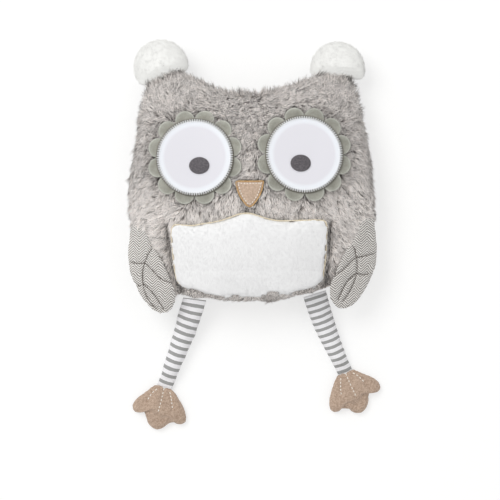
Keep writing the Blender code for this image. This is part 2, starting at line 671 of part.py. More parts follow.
# Where a pompom is stitched to its ear: the stitch point just off the seam, and the way out
def pompom_seat(side):
    tip = sized(EAR_TIP_SHARES[side], BODY_HALF_WIDTH, BODY_HALF_HEIGHT)
    starts, ends = BODY_LOOP, np.roll(BODY_LOOP, -1, axis=0)
    runs = ends - starts
    along = np.clip(((tip - starts) * runs).sum(axis=1) / (runs ** 2).sum(axis=1), 0, 1)
    nearest = starts + runs * along[:, None]
    seam = nearest[np.argmin(np.linalg.norm(nearest - tip, axis=1))]
    stitch = Vector((*seam, seam_height(*seam) - CLEARANCE / 2))
    lean = POMPOM_LEAN[side] * (-1 if side == "left" else 1)
    outward = Vector((math.sin(lean), math.cos(lean), 0)) * POMPOM_OUT[side]
    way = outward + Vector((0, 0, POMPOM_RADIUS - stitch.z))
    return stitch + way.normalized() * TIE_GAP, way.normalized(), way.length - TIE_GAP


def make_pompom(side):
    stitch, way, reach = pompom_seat(side)
    # Where the shallow seat cone meets the ball, seen from the ball's centre
    slope_sin, slope_cos = math.sin(POMPOM_SEAT_ANGLE), math.cos(POMPOM_SEAT_ANGLE)
    out = reach * slope_cos + math.sqrt(POMPOM_RADIUS ** 2 - (reach * slope_sin) ** 2)
    start = math.atan2(out * slope_sin, out * slope_cos - reach)
    cone = POMPOM_BORE_RADIUS * slope_cos / slope_sin
    profile = [(0, POMPOM_BORE_DEPTH), (POMPOM_BORE_RADIUS, POMPOM_BORE_DEPTH),
               (POMPOM_BORE_RADIUS, cone)]
    for k in range(POMPOM_ARC_STEPS + 1):
        turn = start * (1 - k / POMPOM_ARC_STEPS)
        profile.append((POMPOM_RADIUS * math.sin(turn), reach + POMPOM_RADIUS * math.cos(turn)))
    profile[-1] = (0, reach + POMPOM_RADIUS)
    turned("pompom_" + side, profile, POMPOM_SEGMENTS, stitch, way, "pompom_yarn")

    shank = []
    for k in range(TIE_ARC_STEPS + 1):
        turn = math.pi / 2 * k / TIE_ARC_STEPS
        shank.append((TIE_RADIUS * math.sin(turn), TIE_RADIUS - TIE_RADIUS * math.cos(turn)))
    shank += [(radius, TIE_LENGTH - along) for radius, along in reversed(shank)]
    shank[0] = (0, 0)
    shank[-1] = (0, TIE_LENGTH)
    turned("pompom_tie_" + side, shank, TIE_SEGMENTS, stitch, way, "thread")


def main():
    clear_scene()
    make_body()
    make_beak()
    make_belly()
    for side in ("left", "right"):
        make_eye(side)
        make_wing(side)
        make_leg(side)
        make_foot(side)
        make_pompom(side)


main()
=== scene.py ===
import json
import math

import bmesh
import bpy
import numpy as np
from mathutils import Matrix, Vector
from mathutils.bvhtree import BVHTree
from mathutils.kdtree import KDTree


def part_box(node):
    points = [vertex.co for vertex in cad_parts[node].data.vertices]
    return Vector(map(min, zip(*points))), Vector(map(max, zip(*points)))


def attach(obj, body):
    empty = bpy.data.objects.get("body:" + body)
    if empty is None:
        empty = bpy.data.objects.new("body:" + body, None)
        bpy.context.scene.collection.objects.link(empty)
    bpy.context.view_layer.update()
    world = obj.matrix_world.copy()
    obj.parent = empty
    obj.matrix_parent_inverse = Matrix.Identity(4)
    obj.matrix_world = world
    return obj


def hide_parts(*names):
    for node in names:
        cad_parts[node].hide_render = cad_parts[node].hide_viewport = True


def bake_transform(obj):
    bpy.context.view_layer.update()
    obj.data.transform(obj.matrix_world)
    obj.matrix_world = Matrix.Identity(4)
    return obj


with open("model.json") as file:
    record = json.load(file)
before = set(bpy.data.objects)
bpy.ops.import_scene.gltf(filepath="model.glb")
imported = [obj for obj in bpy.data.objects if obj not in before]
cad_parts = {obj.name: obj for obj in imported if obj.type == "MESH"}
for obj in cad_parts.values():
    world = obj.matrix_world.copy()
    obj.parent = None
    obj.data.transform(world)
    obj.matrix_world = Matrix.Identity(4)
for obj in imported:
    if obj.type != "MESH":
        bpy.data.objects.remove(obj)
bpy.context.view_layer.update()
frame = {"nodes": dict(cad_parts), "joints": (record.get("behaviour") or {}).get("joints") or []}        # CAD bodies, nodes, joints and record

scene = bpy.context.scene
nodes = frame["nodes"]
joints = {joint["name"]: joint for joint in frame["joints"]}
sides = ("left", "right")
outward = {"left": -1, "right": 1}


# Colours are picked as 0 to 255 and handed to the shaders as linear values
def picked(red, green, blue):
    shares = [value / 255 for value in (red, green, blue)]
    return [*(s / 12.92 if s < 0.04 else ((s + 0.055) / 1.055) ** 2.4 for s in shares), 1]


# Camera, lamps and floor

cameraSet = {"place": (-0.0021, -0.063, 2.2), "lens": 148.25, "sensor": 36}
lightSet = {"world": 0.68, "keyPlace": (-1.1, 1.0, 2.3), "keySize": 1.5, "keyPower": 30,
            "keyTarget": (0, -0.04, 0.03), "floor": (250, 250, 250),
            "floorSeen": (172, 172, 171), "floorGlow": 0.62, "floorSize": 6}


def placed(name, data):   # a new object in the scene
    item = bpy.data.objects.new(name, data)
    scene.collection.objects.link(item)
    return item


def makeStudio():
    lens = bpy.data.cameras.new("camera")
    lens.lens = cameraSet["lens"]
    lens.sensor_width = cameraSet["sensor"]
    camera = placed("camera", lens)
    camera.location = cameraSet["place"]
    scene.camera = camera
    scene.view_settings.view_transform = "Standard"

    world = bpy.data.worlds.new("world")
    world.use_nodes = True
    tree = world.node_tree
    backdrop = tree.nodes["Background"].inputs
    backdrop["Color"].default_value = (1, 1, 1, 1)
    path = tree.nodes.new("ShaderNodeLightPath")   # seen directly the world is white
    seen = mathNode(tree, "MAXIMUM", path.outputs["Is Camera Ray"], path.outputs["Is Glossy Ray"])
    seen = mathNode(tree, "MAXIMUM", seen, path.outputs["Is Transmission Ray"])
    feed(tree, backdrop["Strength"],
         mathNode(tree, "MULTIPLY_ADD", seen, 1.0 - lightSet["world"], lightSet["world"]))
    scene.world = world

    lamp = bpy.data.lights.new("key", "AREA")
    lamp.shape = "DISK"
    lamp.size = lightSet["keySize"]
    lamp.energy = lightSet["keyPower"]
    key = placed("key", lamp)
    key.location = lightSet["keyPlace"]
    aim = Vector(lightSet["keyTarget"]) - Vector(lightSet["keyPlace"])
    key.rotation_euler = aim.to_track_quat("-Z", "Y").to_euler()

    shape = bmesh.new()
    bmesh.ops.create_grid(shape, x_segments=1, y_segments=1, size=lightSet["floorSize"] / 2)
    mesh = bpy.data.meshes.new("floor")
    shape.to_mesh(mesh)
    shape.free()
    floor = placed("floor", mesh)
    material = bpy.data.materials.new("floor")
    material.use_nodes = True
    tree = material.node_tree
    shader = tree.nodes["Principled BSDF"]
    shader.inputs["Roughness"].default_value = 1
    shader.inputs["Specular IOR Level"].default_value = 0
    shader.inputs["Emission Color"].default_value = (1, 1, 1, 1)
    path = tree.nodes.new("ShaderNodeLightPath")
    seen = mathNode(tree, "ADD", path.outputs["Is Camera Ray"], path.outputs["Is Glossy Ray"])
    seen = mathNode(tree, "ADD", seen, path.outputs["Is Transmission Ray"])
    paint = mixNode(tree, seen, picked(*lightSet["floor"]), picked(*lightSet["floorSeen"]))
    tree.links.new(paint, shader.inputs["Base Color"])
    glow = mathNode(tree, "MULTIPLY", seen, lightSet["floorGlow"])
    tree.links.new(glow, shader.inputs["Emission Strength"])
    mesh.materials.append(material)


# Node tree helpers: each returns the output socket

def feed(tree, socket, value):
    if isinstance(value, bpy.types.NodeSocket):
        tree.links.new(value, socket)
    else:
        socket.default_value = value


def mathNode(tree, operation, first, second=0.0, third=0.0):
    node = tree.nodes.new("ShaderNodeMath")
    node.operation = operation
    for socket, value in zip(node.inputs, (first, second, third)):
        feed(tree, socket, value)
    return node.outputs[0]


def rampNode(tree, value, stops):   # stops: (place, colour as 0 to 1 linear)
    node = tree.nodes.new("ShaderNodeValToRGB")
    feed(tree, node.inputs["Fac"], value)
    while len(node.color_ramp.elements) < len(stops):
        node.color_ramp.elements.new(1)
    for element, (place, colour) in zip(node.color_ramp.elements, stops):
        element.position = place
        element.color = colour
    return node.outputs["Color"]


def mixNode(tree, share, first, second, blend="MIX"):
    node = tree.nodes.new("ShaderNodeMix")
    node.data_type = "RGBA"
    node.blend_type = blend
    feed(tree, node.inputs["Factor"], share)
    feed(tree, node.inputs[6], first)
    feed(tree, node.inputs[7], second)
    return node.outputs[2]


def attributeNode(tree, name):
    node = tree.nodes.new("ShaderNodeAttribute")
    node.attribute_name = name
    return node.outputs["Fac"]


def objectNode(tree):
    return tree.nodes.new("ShaderNodeTexCoord").outputs["Object"]


def noiseNode(tree, size, detail=2.0, place=None):   # size: about how wide a patch is, in metres
    node = tree.nodes.new("ShaderNodeTexNoise")
    node.inputs["Scale"].default_value = 1 / size
    node.inputs["Detail"].default_value = detail
    feed(tree, node.inputs["Vector"], place or objectNode(tree))
    return node.outputs["Fac"]


def greyNode(tree, shade):
    node = tree.nodes.new("ShaderNodeCombineColor")
    for socket in node.inputs:
        feed(tree, socket, shade)
    return node.outputs[0]


def bumpNode(tree, height, distance, strength=1.0):
    node = tree.nodes.new("ShaderNodeBump")
    node.inputs["Distance"].default_value = distance
    node.inputs["Strength"].default_value = strength
    feed(tree, node.inputs["Height"], height)
    return node.outputs["Normal"]


def splitNode(tree, vector):
    node = tree.nodes.new("ShaderNodeSeparateXYZ")
    feed(tree, node.inputs[0], vector)
    return node.outputs


def cloth(name, roughness=0.9, sheen=0.2, shine=0.25):   # a material, its tree and its shader
    material = bpy.data.materials.new(name)
    material.use_nodes = True
    shader = material.node_tree.nodes["Principled BSDF"]
    shader.inputs["Roughness"].default_value = roughness
    shader.inputs["Sheen Weight"].default_value = sheen
    shader.inputs["Specular IOR Level"].default_value = shine
    return material, material.node_tree, shader.inputs


# Materials

pileColours = {
    "greyFur": {"root": (92, 83, 77), "middle": (214, 207, 202), "tip": (240, 236, 233),
                "bend": 0.5, "spread": 0.55},
    "whitePlush": {"root": (248, 248, 248), "middle": (252, 252, 252), "tip": (254, 254, 254),
                   "bend": 0.4, "spread": 0.02},
    "whiteFluff": {"root": (248, 248, 244), "middle": (252, 252, 249), "tip": (254, 254, 251),
                   "bend": 0.5, "spread": 0.02},
}


def pileMaterial(name):
    colours = pileColours[name]
    material, tree, shader = cloth(name, roughness=0.85, sheen=0.15, shine=0.2)
    along = attributeNode(tree, "along")
    stops = ((0.0, picked(*colours["root"])), (colours["bend"], picked(*colours["middle"])),
             (1.0, picked(*colours["tip"])))
    base = rampNode(tree, along, stops)
    tint = attributeNode(tree, "tint")
    shade = mathNode(tree, "MULTIPLY_ADD", tint, colours["spread"], 1 - colours["spread"] / 2)
    feed(tree, shader["Base Color"], mixNode(tree, 1.0, base, greyNode(tree, shade), "MULTIPLY"))
    return material


def backingMaterial(name, colour, deeper, relief):   # the knitted cloth that the pile grows from
    material, tree, shader = cloth(name)
    shade = rampNode(tree, noiseNode(tree, 0.004, 4), ((0.3, picked(*[c * deeper for c in colour])),
                                                       (0.7, picked(*colour))))
    feed(tree, shader["Base Color"], shade)
    if not relief:
        return material
    turned = tree.nodes.new("ShaderNodeMapping")   # fine down-brushed streaks
    turned.inputs["Scale"].default_value = (1, 0.3, 1)
    feed(tree, turned.inputs["Vector"], objectNode(tree))
    feed(tree, shader["Normal"], bumpNode(tree, noiseNode(tree, 0.0009, 3, turned.outputs[0]), relief))
    return material


# Mesh helpers

def nodeShape(*names):   # CAD nodes as one bmesh, their loose triangles merged
    shape = bmesh.new()
    for name in names:
        shape.from_mesh(nodes[name].data)
    bmesh.ops.remove_doubles(shape, verts=shape.verts, dist=0.00001)
    shape.normal_update()
    return shape


def link(name, shape, material):   # a bmesh as a new smooth piece
    mesh = bpy.data.meshes.new(name)
    shape.to_mesh(mesh)
    shape.free()
    mesh.shade_smooth()
    mesh.materials.append(material)
    return placed(name, mesh)


# The outside of two stacked pads as one closed shape: the upper one's top, the lower one's underside
def outsideOf(upper, lower):
    shape = nodeShape(upper)
    top = [f for f in shape.faces if f.normal.z < 0.02]
    bmesh.ops.delete(shape, geom=top, context="FACES")
    under = nodeShape(lower)
    bmesh.ops.delete(under, geom=[f for f in under.faces if f.normal.z > -0.02], context="FACES")
    mesh = bpy.data.meshes.new("under")
    under.to_mesh(mesh)
    under.free()
    shape.from_mesh(mesh)
    bpy.data.meshes.remove(mesh)
    rims = [edge for edge in shape.edges if edge.is_boundary]
    bmesh.ops.bridge_loops(shape, edges=rims)
    bmesh.ops.recalc_face_normals(shape, faces=shape.faces)
    return shape


def bake(piece):   # what the modifiers make becomes the mesh
    depsgraph = bpy.context.evaluated_depsgraph_get()
    mesh = bpy.data.meshes.new_from_object(piece.evaluated_get(depsgraph))
    old = piece.data
    piece.modifiers.clear()
    piece.data = mesh
    bpy.data.meshes.remove(old)


def coordinates(mesh, kind="co"):
    values = np.empty(len(mesh.vertices) * 3, np.float32)
    if kind == "co":
        mesh.vertices.foreach_get("co", values)
    else:
        mesh.vertex_normals.foreach_get("vector", values)
    return values.reshape(-1, 3).astype(float)


def moveTo(mesh, points):
    mesh.vertices.foreach_set("co", points.astype(np.float32).ravel())
    mesh.update()


def relax(shape, verts):
    bmesh.ops.smooth_vert(shape, verts=verts, factor=0.5, use_axis_x=True, use_axis_y=True,
                          use_axis_z=True)


def remeshed(piece, voxel, rounds):
    remesh = piece.modifiers.new("remesh", "REMESH")
    remesh.mode = "VOXEL"
    remesh.voxel_size = voxel
    remesh.use_smooth_shade = True
    bake(piece)
    shape = bmesh.new()
    shape.from_mesh(piece.data)
    for _ in range(rounds):
        relax(shape, shape.verts)
    shape.to_mesh(piece.data)
    shape.free()


clothSet = {"quality": 5, "mass": 0.2, "frames": 20}


# Cloth under pressure, as stuffing fills it, held to a cap so that it stays in its place
def stuffed(piece, fill):
    rest = coordinates(piece.data)
    start = rest - coordinates(piece.data, "normal") * fill["drawIn"]
    moveTo(piece.data, start)
    sim = piece.modifiers.new("cloth", "CLOTH")
    settings = sim.settings
    settings.quality = clothSet["quality"]
    settings.mass = clothSet["mass"]
    settings.tension_stiffness = fill["stiffness"]
    settings.compression_stiffness = fill["stiffness"]
    settings.bending_stiffness = fill["bending"]
    settings.use_pressure = True
    settings.uniform_pressure_force = fill["pressure"]
    settings.shrink_min = -fill["slack"]
    settings.effector_weights.gravity = 0
    for step in range(1, clothSet["frames"] + 1):
        scene.frame_set(step)
    bake(piece)
    scene.frame_set(1)
    moved = coordinates(piece.data) - start
    reach = np.linalg.norm(moved, axis=1, keepdims=True)
    moved *= np.minimum(1, fill["cap"] / np.maximum(reach, 1e-9))
    moveTo(piece.data, start + moved)


def finer(piece):
    surface = piece.modifiers.new("finer", "SUBSURF")
    surface.levels = surface.render_levels = 1
    bake(piece)
    piece.data.shade_smooth()


def treeOf(*pieces):
    points, faces = [], []
    for piece in pieces:
        first = len(points)
        points += [vert.co.copy() for vert in piece.data.vertices]
        faces += [[first + k for k in face.vertices] for face in piece.data.polygons]
    return BVHTree.FromPolygons(points, faces)


def fromAbove(tree, x, y):   # where a ray straight down meets the tree
    return tree.ray_cast(Vector((x, y, 0.3)), Vector((0, 0, -1)))


# Smooth made-up unevenness, about -1 to 1, from crossed waves about as long as the size
def ripple(points, size, seed):
    draw = np.random.default_rng(seed)
    waves = draw.normal(size=(9, 3)) * math.tau / size / 1.7
    shifts = draw.uniform(0, math.tau, 9)
    return np.sin(points @ waves.T + shifts).sum(axis=1) / 3


def unit(vectors):
    return vectors / np.maximum(np.linalg.norm(vectors, axis=-1, keepdims=True), 1e-9)


# Evenly random places on a mesh: where they are, their normals
def scattered(piece, count, seed):
    mesh = piece.data
    mesh.calc_loop_triangles()
    corners = np.empty(len(mesh.loop_triangles) * 3, np.int32)
    mesh.loop_triangles.foreach_get("vertices", corners)
    corners = corners.reshape(-1, 3)
    points, normals = coordinates(mesh), coordinates(mesh, "normal")
    a, b, c = (points[corners[:, k]] for k in range(3))
    areas = np.linalg.norm(np.cross(b - a, c - a), axis=1) / 2
    reach = np.cumsum(areas)
    draw = np.random.default_rng(seed)
    at = (np.arange(count) + draw.random(count)) / count * reach[-1]
    face = np.minimum(np.searchsorted(reach, at), len(areas) - 1)
    u, v = draw.random(count), draw.random(count)
    u, v = np.where(u + v > 1, 1 - u, u), np.where(u + v > 1, 1 - v, v)
    weights = np.column_stack([1 - u - v, u, v])
    chosen = corners[face]
    place = (points[chosen] * weights[:, :, None]).sum(axis=1)
    return place, unit((normals[chosen] * weights[:, :, None]).sum(axis=1))


# One unit lock of hair: a three-sided spike whose rings thin out towards the tip
def lockShape(cuts):
    shape = bmesh.new()
    bmesh.ops.create_cone(shape, cap_ends=True, segments=3, radius1=1, radius2=0, depth=1)
    bmesh.ops.remove_doubles(shape, verts=shape.verts, dist=0.0001)
    for cut in range(1, cuts + 1):
        geometry = [*shape.verts, *shape.edges, *shape.faces]
        bmesh.ops.bisect_plane(shape, geom=geometry, plane_no=(0, 0, 1),
                               plane_co=(0, 0, cut / (cuts + 1) - 0.5))
    bmesh.ops.triangulate(shape, faces=shape.faces)
    shape.verts.index_update()
    points = np.array([vert.co for vert in shape.verts])
    faces = np.array([[vert.index for vert in face.verts] for face in shape.faces])
    shape.free()
    along = points[:, 2] + 0.5
    around = points[:, :2] / np.maximum(1 - along, 1e-9)[:, None]
    around[along > 0.999] = 0
    return along, around, faces


# Locks of hair from roots, bending points and tips, as one mesh
def lockPiece(name, roots, bends, tips, normals, pile, tints, material):
    along, around, faces = lockShape(pile["cuts"])
    t = along[None, :, None]
    spine = roots[:, None] * (1 - t) ** 2 + bends[:, None] * 2 * t * (1 - t) + tips[:, None] * t ** 2
    side = unit(np.cross(normals, tips - roots))
    over = unit(np.cross(tips - roots, side))
    width = pile["radius"] * (1 - along ** pile["fullness"])[None, :, None]
    width = width * (0.75 + 0.5 * np.random.default_rng(len(roots)).random((len(roots), 1, 1)))
    points = spine - width * (side[:, None] * around[None, :, :1] + over[:, None] * around[None, :, 1:])
    level = pile["level"]   # how far the hairs are lit as one soft surface, which faces up a little
    raised = pile["up"] * np.clip(normals[:, 2] + pile["upFrom"], 0, 1)
    soft = normals + np.column_stack([np.zeros((len(roots), 2)), raised])
    lit = (1 - level) * (points - spine) / np.maximum(width, 1e-9) + level * unit(soft)[:, None]
    lit = unit(lit + 1e-6)
    points[:, :, 2] = np.maximum(points[:, :, 2], 0.0003)
    count, size = len(roots), len(along)
    corners = (faces[None] + (np.arange(count) * size)[:, None, None]).reshape(-1)
    mesh = bpy.data.meshes.new(name)
    mesh.vertices.add(count * size)
    mesh.vertices.foreach_set("co", points.astype(np.float32).ravel())
    mesh.loops.add(len(corners))
    mesh.loops.foreach_set("vertex_index", corners.astype(np.int32))
    mesh.polygons.add(len(corners) // 3)
    mesh.polygons.foreach_set("loop_start", np.arange(0, len(corners), 3, dtype=np.int32))
    mesh.update(calc_edges=True)
    mesh.shade_smooth()
    for label, values in (("along", np.tile(along, count)), ("tint", np.repeat(tints, size))):
        layer = mesh.attributes.new(label, "FLOAT", "POINT")
        layer.data.foreach_set("value", values.astype(np.float32))
    layer = mesh.attributes.new("custom_normal", "FLOAT_VECTOR", "POINT")
    layer.data.foreach_set("vector", lit.astype(np.float32).ravel())
    mesh.materials.append(material)
    return placed(name, mesh)


def mottled(draw, centres, nearest):   # tints that differ from tuft to tuft and from hair to hair
    byTuft = 0.25 * draw.normal(size=len(centres))[nearest]
    return np.clip(0.5 + byTuft + 0.2 * draw.normal(size=len(nearest)), 0, 1)


# Each root's nearest tuft, so that its hairs lean together
def tufts(roots, spacing, seed):
    draw = np.random.default_rng(seed)
    low, high = roots.min(axis=0), roots.max(axis=0)
    count = max(8, int(len(roots) / 4))
    chosen = roots[np.sort(draw.choice(len(roots), count, replace=False))]
    kept = []
    grid = set()
    for point in chosen:
        cell = tuple(int(v) for v in (point - low) / spacing)
        if cell not in grid:
            grid.add(cell)
            kept.append(point)
    tree = KDTree(len(kept))
    for k, point in enumerate(kept):
        tree.insert(point, k)
    tree.balance()
    nearest = np.array([tree.find(point)[1] for point in roots])
    return np.array(kept), nearest


def tangent(ways, normals):   # ways laid along the surface
    return unit(ways - normals * (ways * normals).sum(axis=1, keepdims=True))


print("studio")
makeStudio()

# The body's cloth, stuffed, under the fur

bodySet = {"voxel": 0.0045, "smoothing": 4, "underFur": 0.0028, "rimIn": 0.0006,
           "edgeWidth": 0.014, "creaseDepth": 0.0060, "creaseWidth": 0.0030,
           "backing": (150, 145, 141)}
# The creases in the fur beside the belly panel, from above
creaseLines = (((-0.0865, -0.034), (-0.0832, -0.058), (-0.0812, -0.076), (-0.0735, -0.106)),
               ((0.0785, -0.032), (0.0784, -0.060), (0.0772, -0.085), (0.0765, -0.106)))
bodyFill = {"drawIn": 0.0012, "stiffness": 12, "bending": 0.4, "pressure": 4.0, "slack": 0.03,
            "cap": 0.0028}


# A pad's outline seen from above: the edges where its top turns down, in order
def rimOf(name):
    shape = nodeShape(name)
    steep = 0.25
    ahead = {}
    for edge in shape.edges:
        lifts = sorted(face.normal.z for face in edge.link_faces)
        if len(lifts) == 2 and lifts[0] <= steep < lifts[1]:
            a, b = edge.verts
            ahead.setdefault(a.index, []).append(b.index)
            ahead.setdefault(b.index, []).append(a.index)
    places = {vert.index: vert.co.copy() for vert in shape.verts}
    shape.free()
    first = max(ahead, key=lambda k: places[k].xy.length)
    loop, last = [first], None
    while True:
        following = [k for k in ahead[loop[-1]] if k != last and (k not in loop or k == first)]
        if not following or following[0] == first and len(loop) > 2:
            break
        last = loop[-1]
        loop.append(following[0])
    points = np.array([places[k] for k in loop])
    turn = np.cross(points[:, :2], np.roll(points[:, :2], -1, axis=0)).sum()
    return points if turn > 0 else points[::-1]


def bent(a, b, c, d, steps):   # points from b on towards c, on a smooth curve through all four
    line = []
    for t in np.linspace(0, 1, steps, endpoint=False):
        bend = (2 * a - 5 * b + 4 * c - d) * t ** 2 + (3 * b - a - 3 * c + d) * t ** 3
        line.append((2 * b + (c - a) * t + bend) / 2)
    return line


def smoothLoop(corners, count):   # a closed curve through the corners, at even steps
    dense = []
    for k in range(len(corners)):
        dense += bent(*(corners[(k + step) % len(corners)] for step in (-1, 0, 1, 2)), 12)
    return evenly(np.array([*dense, dense[0]]), count + 1)[:-1]


def lengthOf(line):
    return np.linalg.norm(np.diff(line, axis=0), axis=1).sum()


def evenly(line, count):   # points at even steps along a line
    run = np.concatenate([[0], np.cumsum(np.linalg.norm(np.diff(line, axis=0), axis=1))])
    at = np.linspace(0, run[-1], count)
    return np.column_stack([np.interp(at, run, line[:, k]) for k in range(line.shape[1])])


frontTree = treeOf(nodes["body_front"])


def frontHeight(x, y, blur=0.005):   # the CAD body's front under a point, its facets evened out
    found = []
    for turn in range(7):
        reach = blur if turn else 0
        hit = fromAbove(frontTree, x + reach * math.cos(turn), y + reach * math.sin(turn))[0]
        if hit:
            found.append(hit.z)
    return sum(found) / len(found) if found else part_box("body_back")[1].z


def outwards(line):   # which way a closed outline faces, in plan
    ahead = np.roll(line[:, :2], -1, axis=0) - np.roll(line[:, :2], 1, axis=0)
    return unit(np.column_stack([ahead[:, 1], -ahead[:, 0]]))


def eased(value, start, end):   # 0 before start, 1 after end, smooth between
    share = np.clip((value - start) / (end - start), 0, 1)
    return share * share * (3 - 2 * share)


# How far beside, outside and within its outline a cloth's edge is looked for
edgeSet = {"beside": 0.0018, "outside": 0.004, "within": 0.02, "strength": 0.9, "batch": 4000}


# Draws a cloth's edge, which remeshing has rounded off, back out to its outline in plan
def drawnOut(piece, outline, width, inside=0.0, even=2):
    points = coordinates(piece.data)
    sides = outwards(outline)
    step = np.linalg.norm(outline[1, :2] - outline[0, :2])
    gaps = []
    for place, side in zip(outline[:, :2], sides):
        rest = points[:, :2] - place
        along = rest @ side
        beside = np.abs(rest @ np.array((-side[1], side[0]))) < max(step, edgeSet["beside"])
        near = along[beside & (along < edgeSet["outside"]) & (along > -edgeSet["within"])]
        gaps.append(-near.max() - inside if len(near) else 0)
    gaps = np.array(gaps)
    gaps = np.mean([np.roll(gaps, k) for k in range(-even, even + 1)], axis=0)
    full = math.sqrt(math.pi) * width / step * edgeSet["strength"]
    batch = edgeSet["batch"]
    for part in range(0, len(points), batch):
        some = points[part:part + batch, :2]
        apart = np.linalg.norm(some[:, None] - outline[None, :, :2], axis=2)
        weight = np.exp(-(apart / width) ** 2)
        weight /= np.maximum(weight.sum(axis=1), full)[:, None]
        points[part:part + batch, :2] += (weight * gaps) @ sides
    moveTo(piece.data, points)


def lineDistance(points, lines):   # how far each point is, in plan, from the nearest line
    nearest = np.full(len(points), 1.0)
    for line in lines:
        for a, b in zip(line, line[1:]):
            run = b - a
            share = np.clip(((points[:, :2] - a) @ run) / (run @ run), 0, 1)
            gap = np.linalg.norm(points[:, :2] - a - share[:, None] * run, axis=1)
            nearest = np.minimum(nearest, gap)
    return nearest


def curved(points):   # an open smooth line through the points
    corner = np.array(points, float)
    padded = np.vstack([2 * corner[0] - corner[1], corner, 2 * corner[-1] - corner[-2]])
    dense = []
    for four in zip(padded, padded[1:], padded[2:], padded[3:]):
        dense += bent(*four, 8)
    return evenly(np.array([*dense, corner[-1]]), 24)


def makeBody():
    shape = outsideOf("body_front", "body_back")
    piece = link("body_cloth", shape, backingMaterial("furBacking", bodySet["backing"], 0.8, 0.0004))
    remeshed(piece, bodySet["voxel"], bodySet["smoothing"])
    moveTo(piece.data, coordinates(piece.data)
           - coordinates(piece.data, "normal") * bodySet["underFur"])
    stuffed(piece, bodyFill)
    drawnOut(piece, smoothLoop(rimOf("body_front"), 360), bodySet["edgeWidth"], bodySet["rimIn"])
    points = coordinates(piece.data)
    gap = lineDistance(points, [curved(line) for line in creaseLines])
    points[:, 2] -= (bodySet["creaseDepth"] * np.exp(-(gap / bodySet["creaseWidth"]) ** 2)
                     * (points[:, 2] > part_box("body_back")[1].z))
    moveTo(piece.data, points)
    finer(piece)
    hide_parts("body_front", "body_back", "body_stuffing")
    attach(piece, "body")
    return piece


print("body cloth")
bodyCloth = makeBody()
bodyHalf = (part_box("body_back")[1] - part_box("body_back")[0]) / 2

# Thread work: every stitch is a small stretched bead

def stitchShape():
    shape = bmesh.new()
    bmesh.ops.create_uvsphere(shape, u_segments=6, v_segments=4, radius=0.5)
    bmesh.ops.triangulate(shape, faces=shape.faces)
    shape.verts.index_update()
    points = np.array([vert.co for vert in shape.verts])
    around = np.hypot(points[:, 0], points[:, 1])
    fuller = np.where(around > 0.01, (2 * np.maximum(around, 0.01)) ** -0.65, 1)
    points[:, :2] *= fuller[:, None]   # blunt ends, as a stitch has where it enters the cloth
    points[:, 2] = np.sign(points[:, 2]) * 0.5 * (2 * abs(points[:, 2])) ** 0.5
    faces = np.array([[vert.index for vert in face.verts] for face in shape.faces])
    shape.free()
    return points, faces


# Stitches from their ends and the cloth's normals under them
def stitchPiece(name, starts, ends, normals, thread, material):
    unitPoints, faces = stitchShape()
    starts, ends, normals = (np.array(values, float) for values in (starts, ends, normals))
    way = ends - starts
    side = unit(np.cross(normals, way))
    over = unit(np.cross(way, side))
    points = (starts + ends)[:, None] / 2 + way[:, None] * unitPoints[None, :, 2:3]
    points += side[:, None] * unitPoints[None, :, :1] * thread["width"]
    points += over[:, None] * unitPoints[None, :, 1:2] * thread["height"]
    count, size = len(starts), len(unitPoints)
    corners = (faces[None] + (np.arange(count) * size)[:, None, None]).reshape(-1, 3)
    mesh = bpy.data.meshes.new(name)
    mesh.from_pydata(points.reshape(-1, 3).tolist(), [], corners.tolist())
    mesh.shade_smooth()
    mesh.materials.append(material)
    return placed(name, mesh)


# Running stitches along a line: each takes its share of the pitch, the rest is the gap
def runningEnds(line, pitch, share):
    count = max(1, round(lengthOf(line) / pitch))
    dense = evenly(line, count * 10 + 1)
    take = round(share * 10)
    return [dense[k * 10] for k in range(count)], [dense[k * 10 + take] for k in range(count)]


def threadMaterial(name, colour, deeper):
    material, tree, shader = cloth(name, roughness=0.55, sheen=0.3, shine=0.4)
    shade = rampNode(tree, noiseNode(tree, 0.0011, 3), ((0.35, picked(*deeper)), (0.6, picked(*colour))))
    feed(tree, shader["Base Color"], shade)
    feed(tree, shader["Normal"], bumpNode(tree, noiseNode(tree, 0.0003, 2), 0.0001))
    return material


def seatOf(centre, radius, flatness):   # the body's height, levelled towards a plane
    places = [(centre.x + radius * ring * math.cos(turn), centre.y + radius * ring * math.sin(turn))
              for ring in (0.4, 0.75, 1) for turn in np.linspace(0, math.tau, 12, endpoint=False)]
    heights = [frontHeight(*place) for place in places]
    plane = np.linalg.lstsq(np.column_stack([places, np.ones(len(places))]), heights, rcond=None)[0]

    def seat(x, y, blur=0.005):
        level = plane @ (x, y, 1)
        return (1 - flatness) * frontHeight(x, y, blur) + flatness * level

    return seat


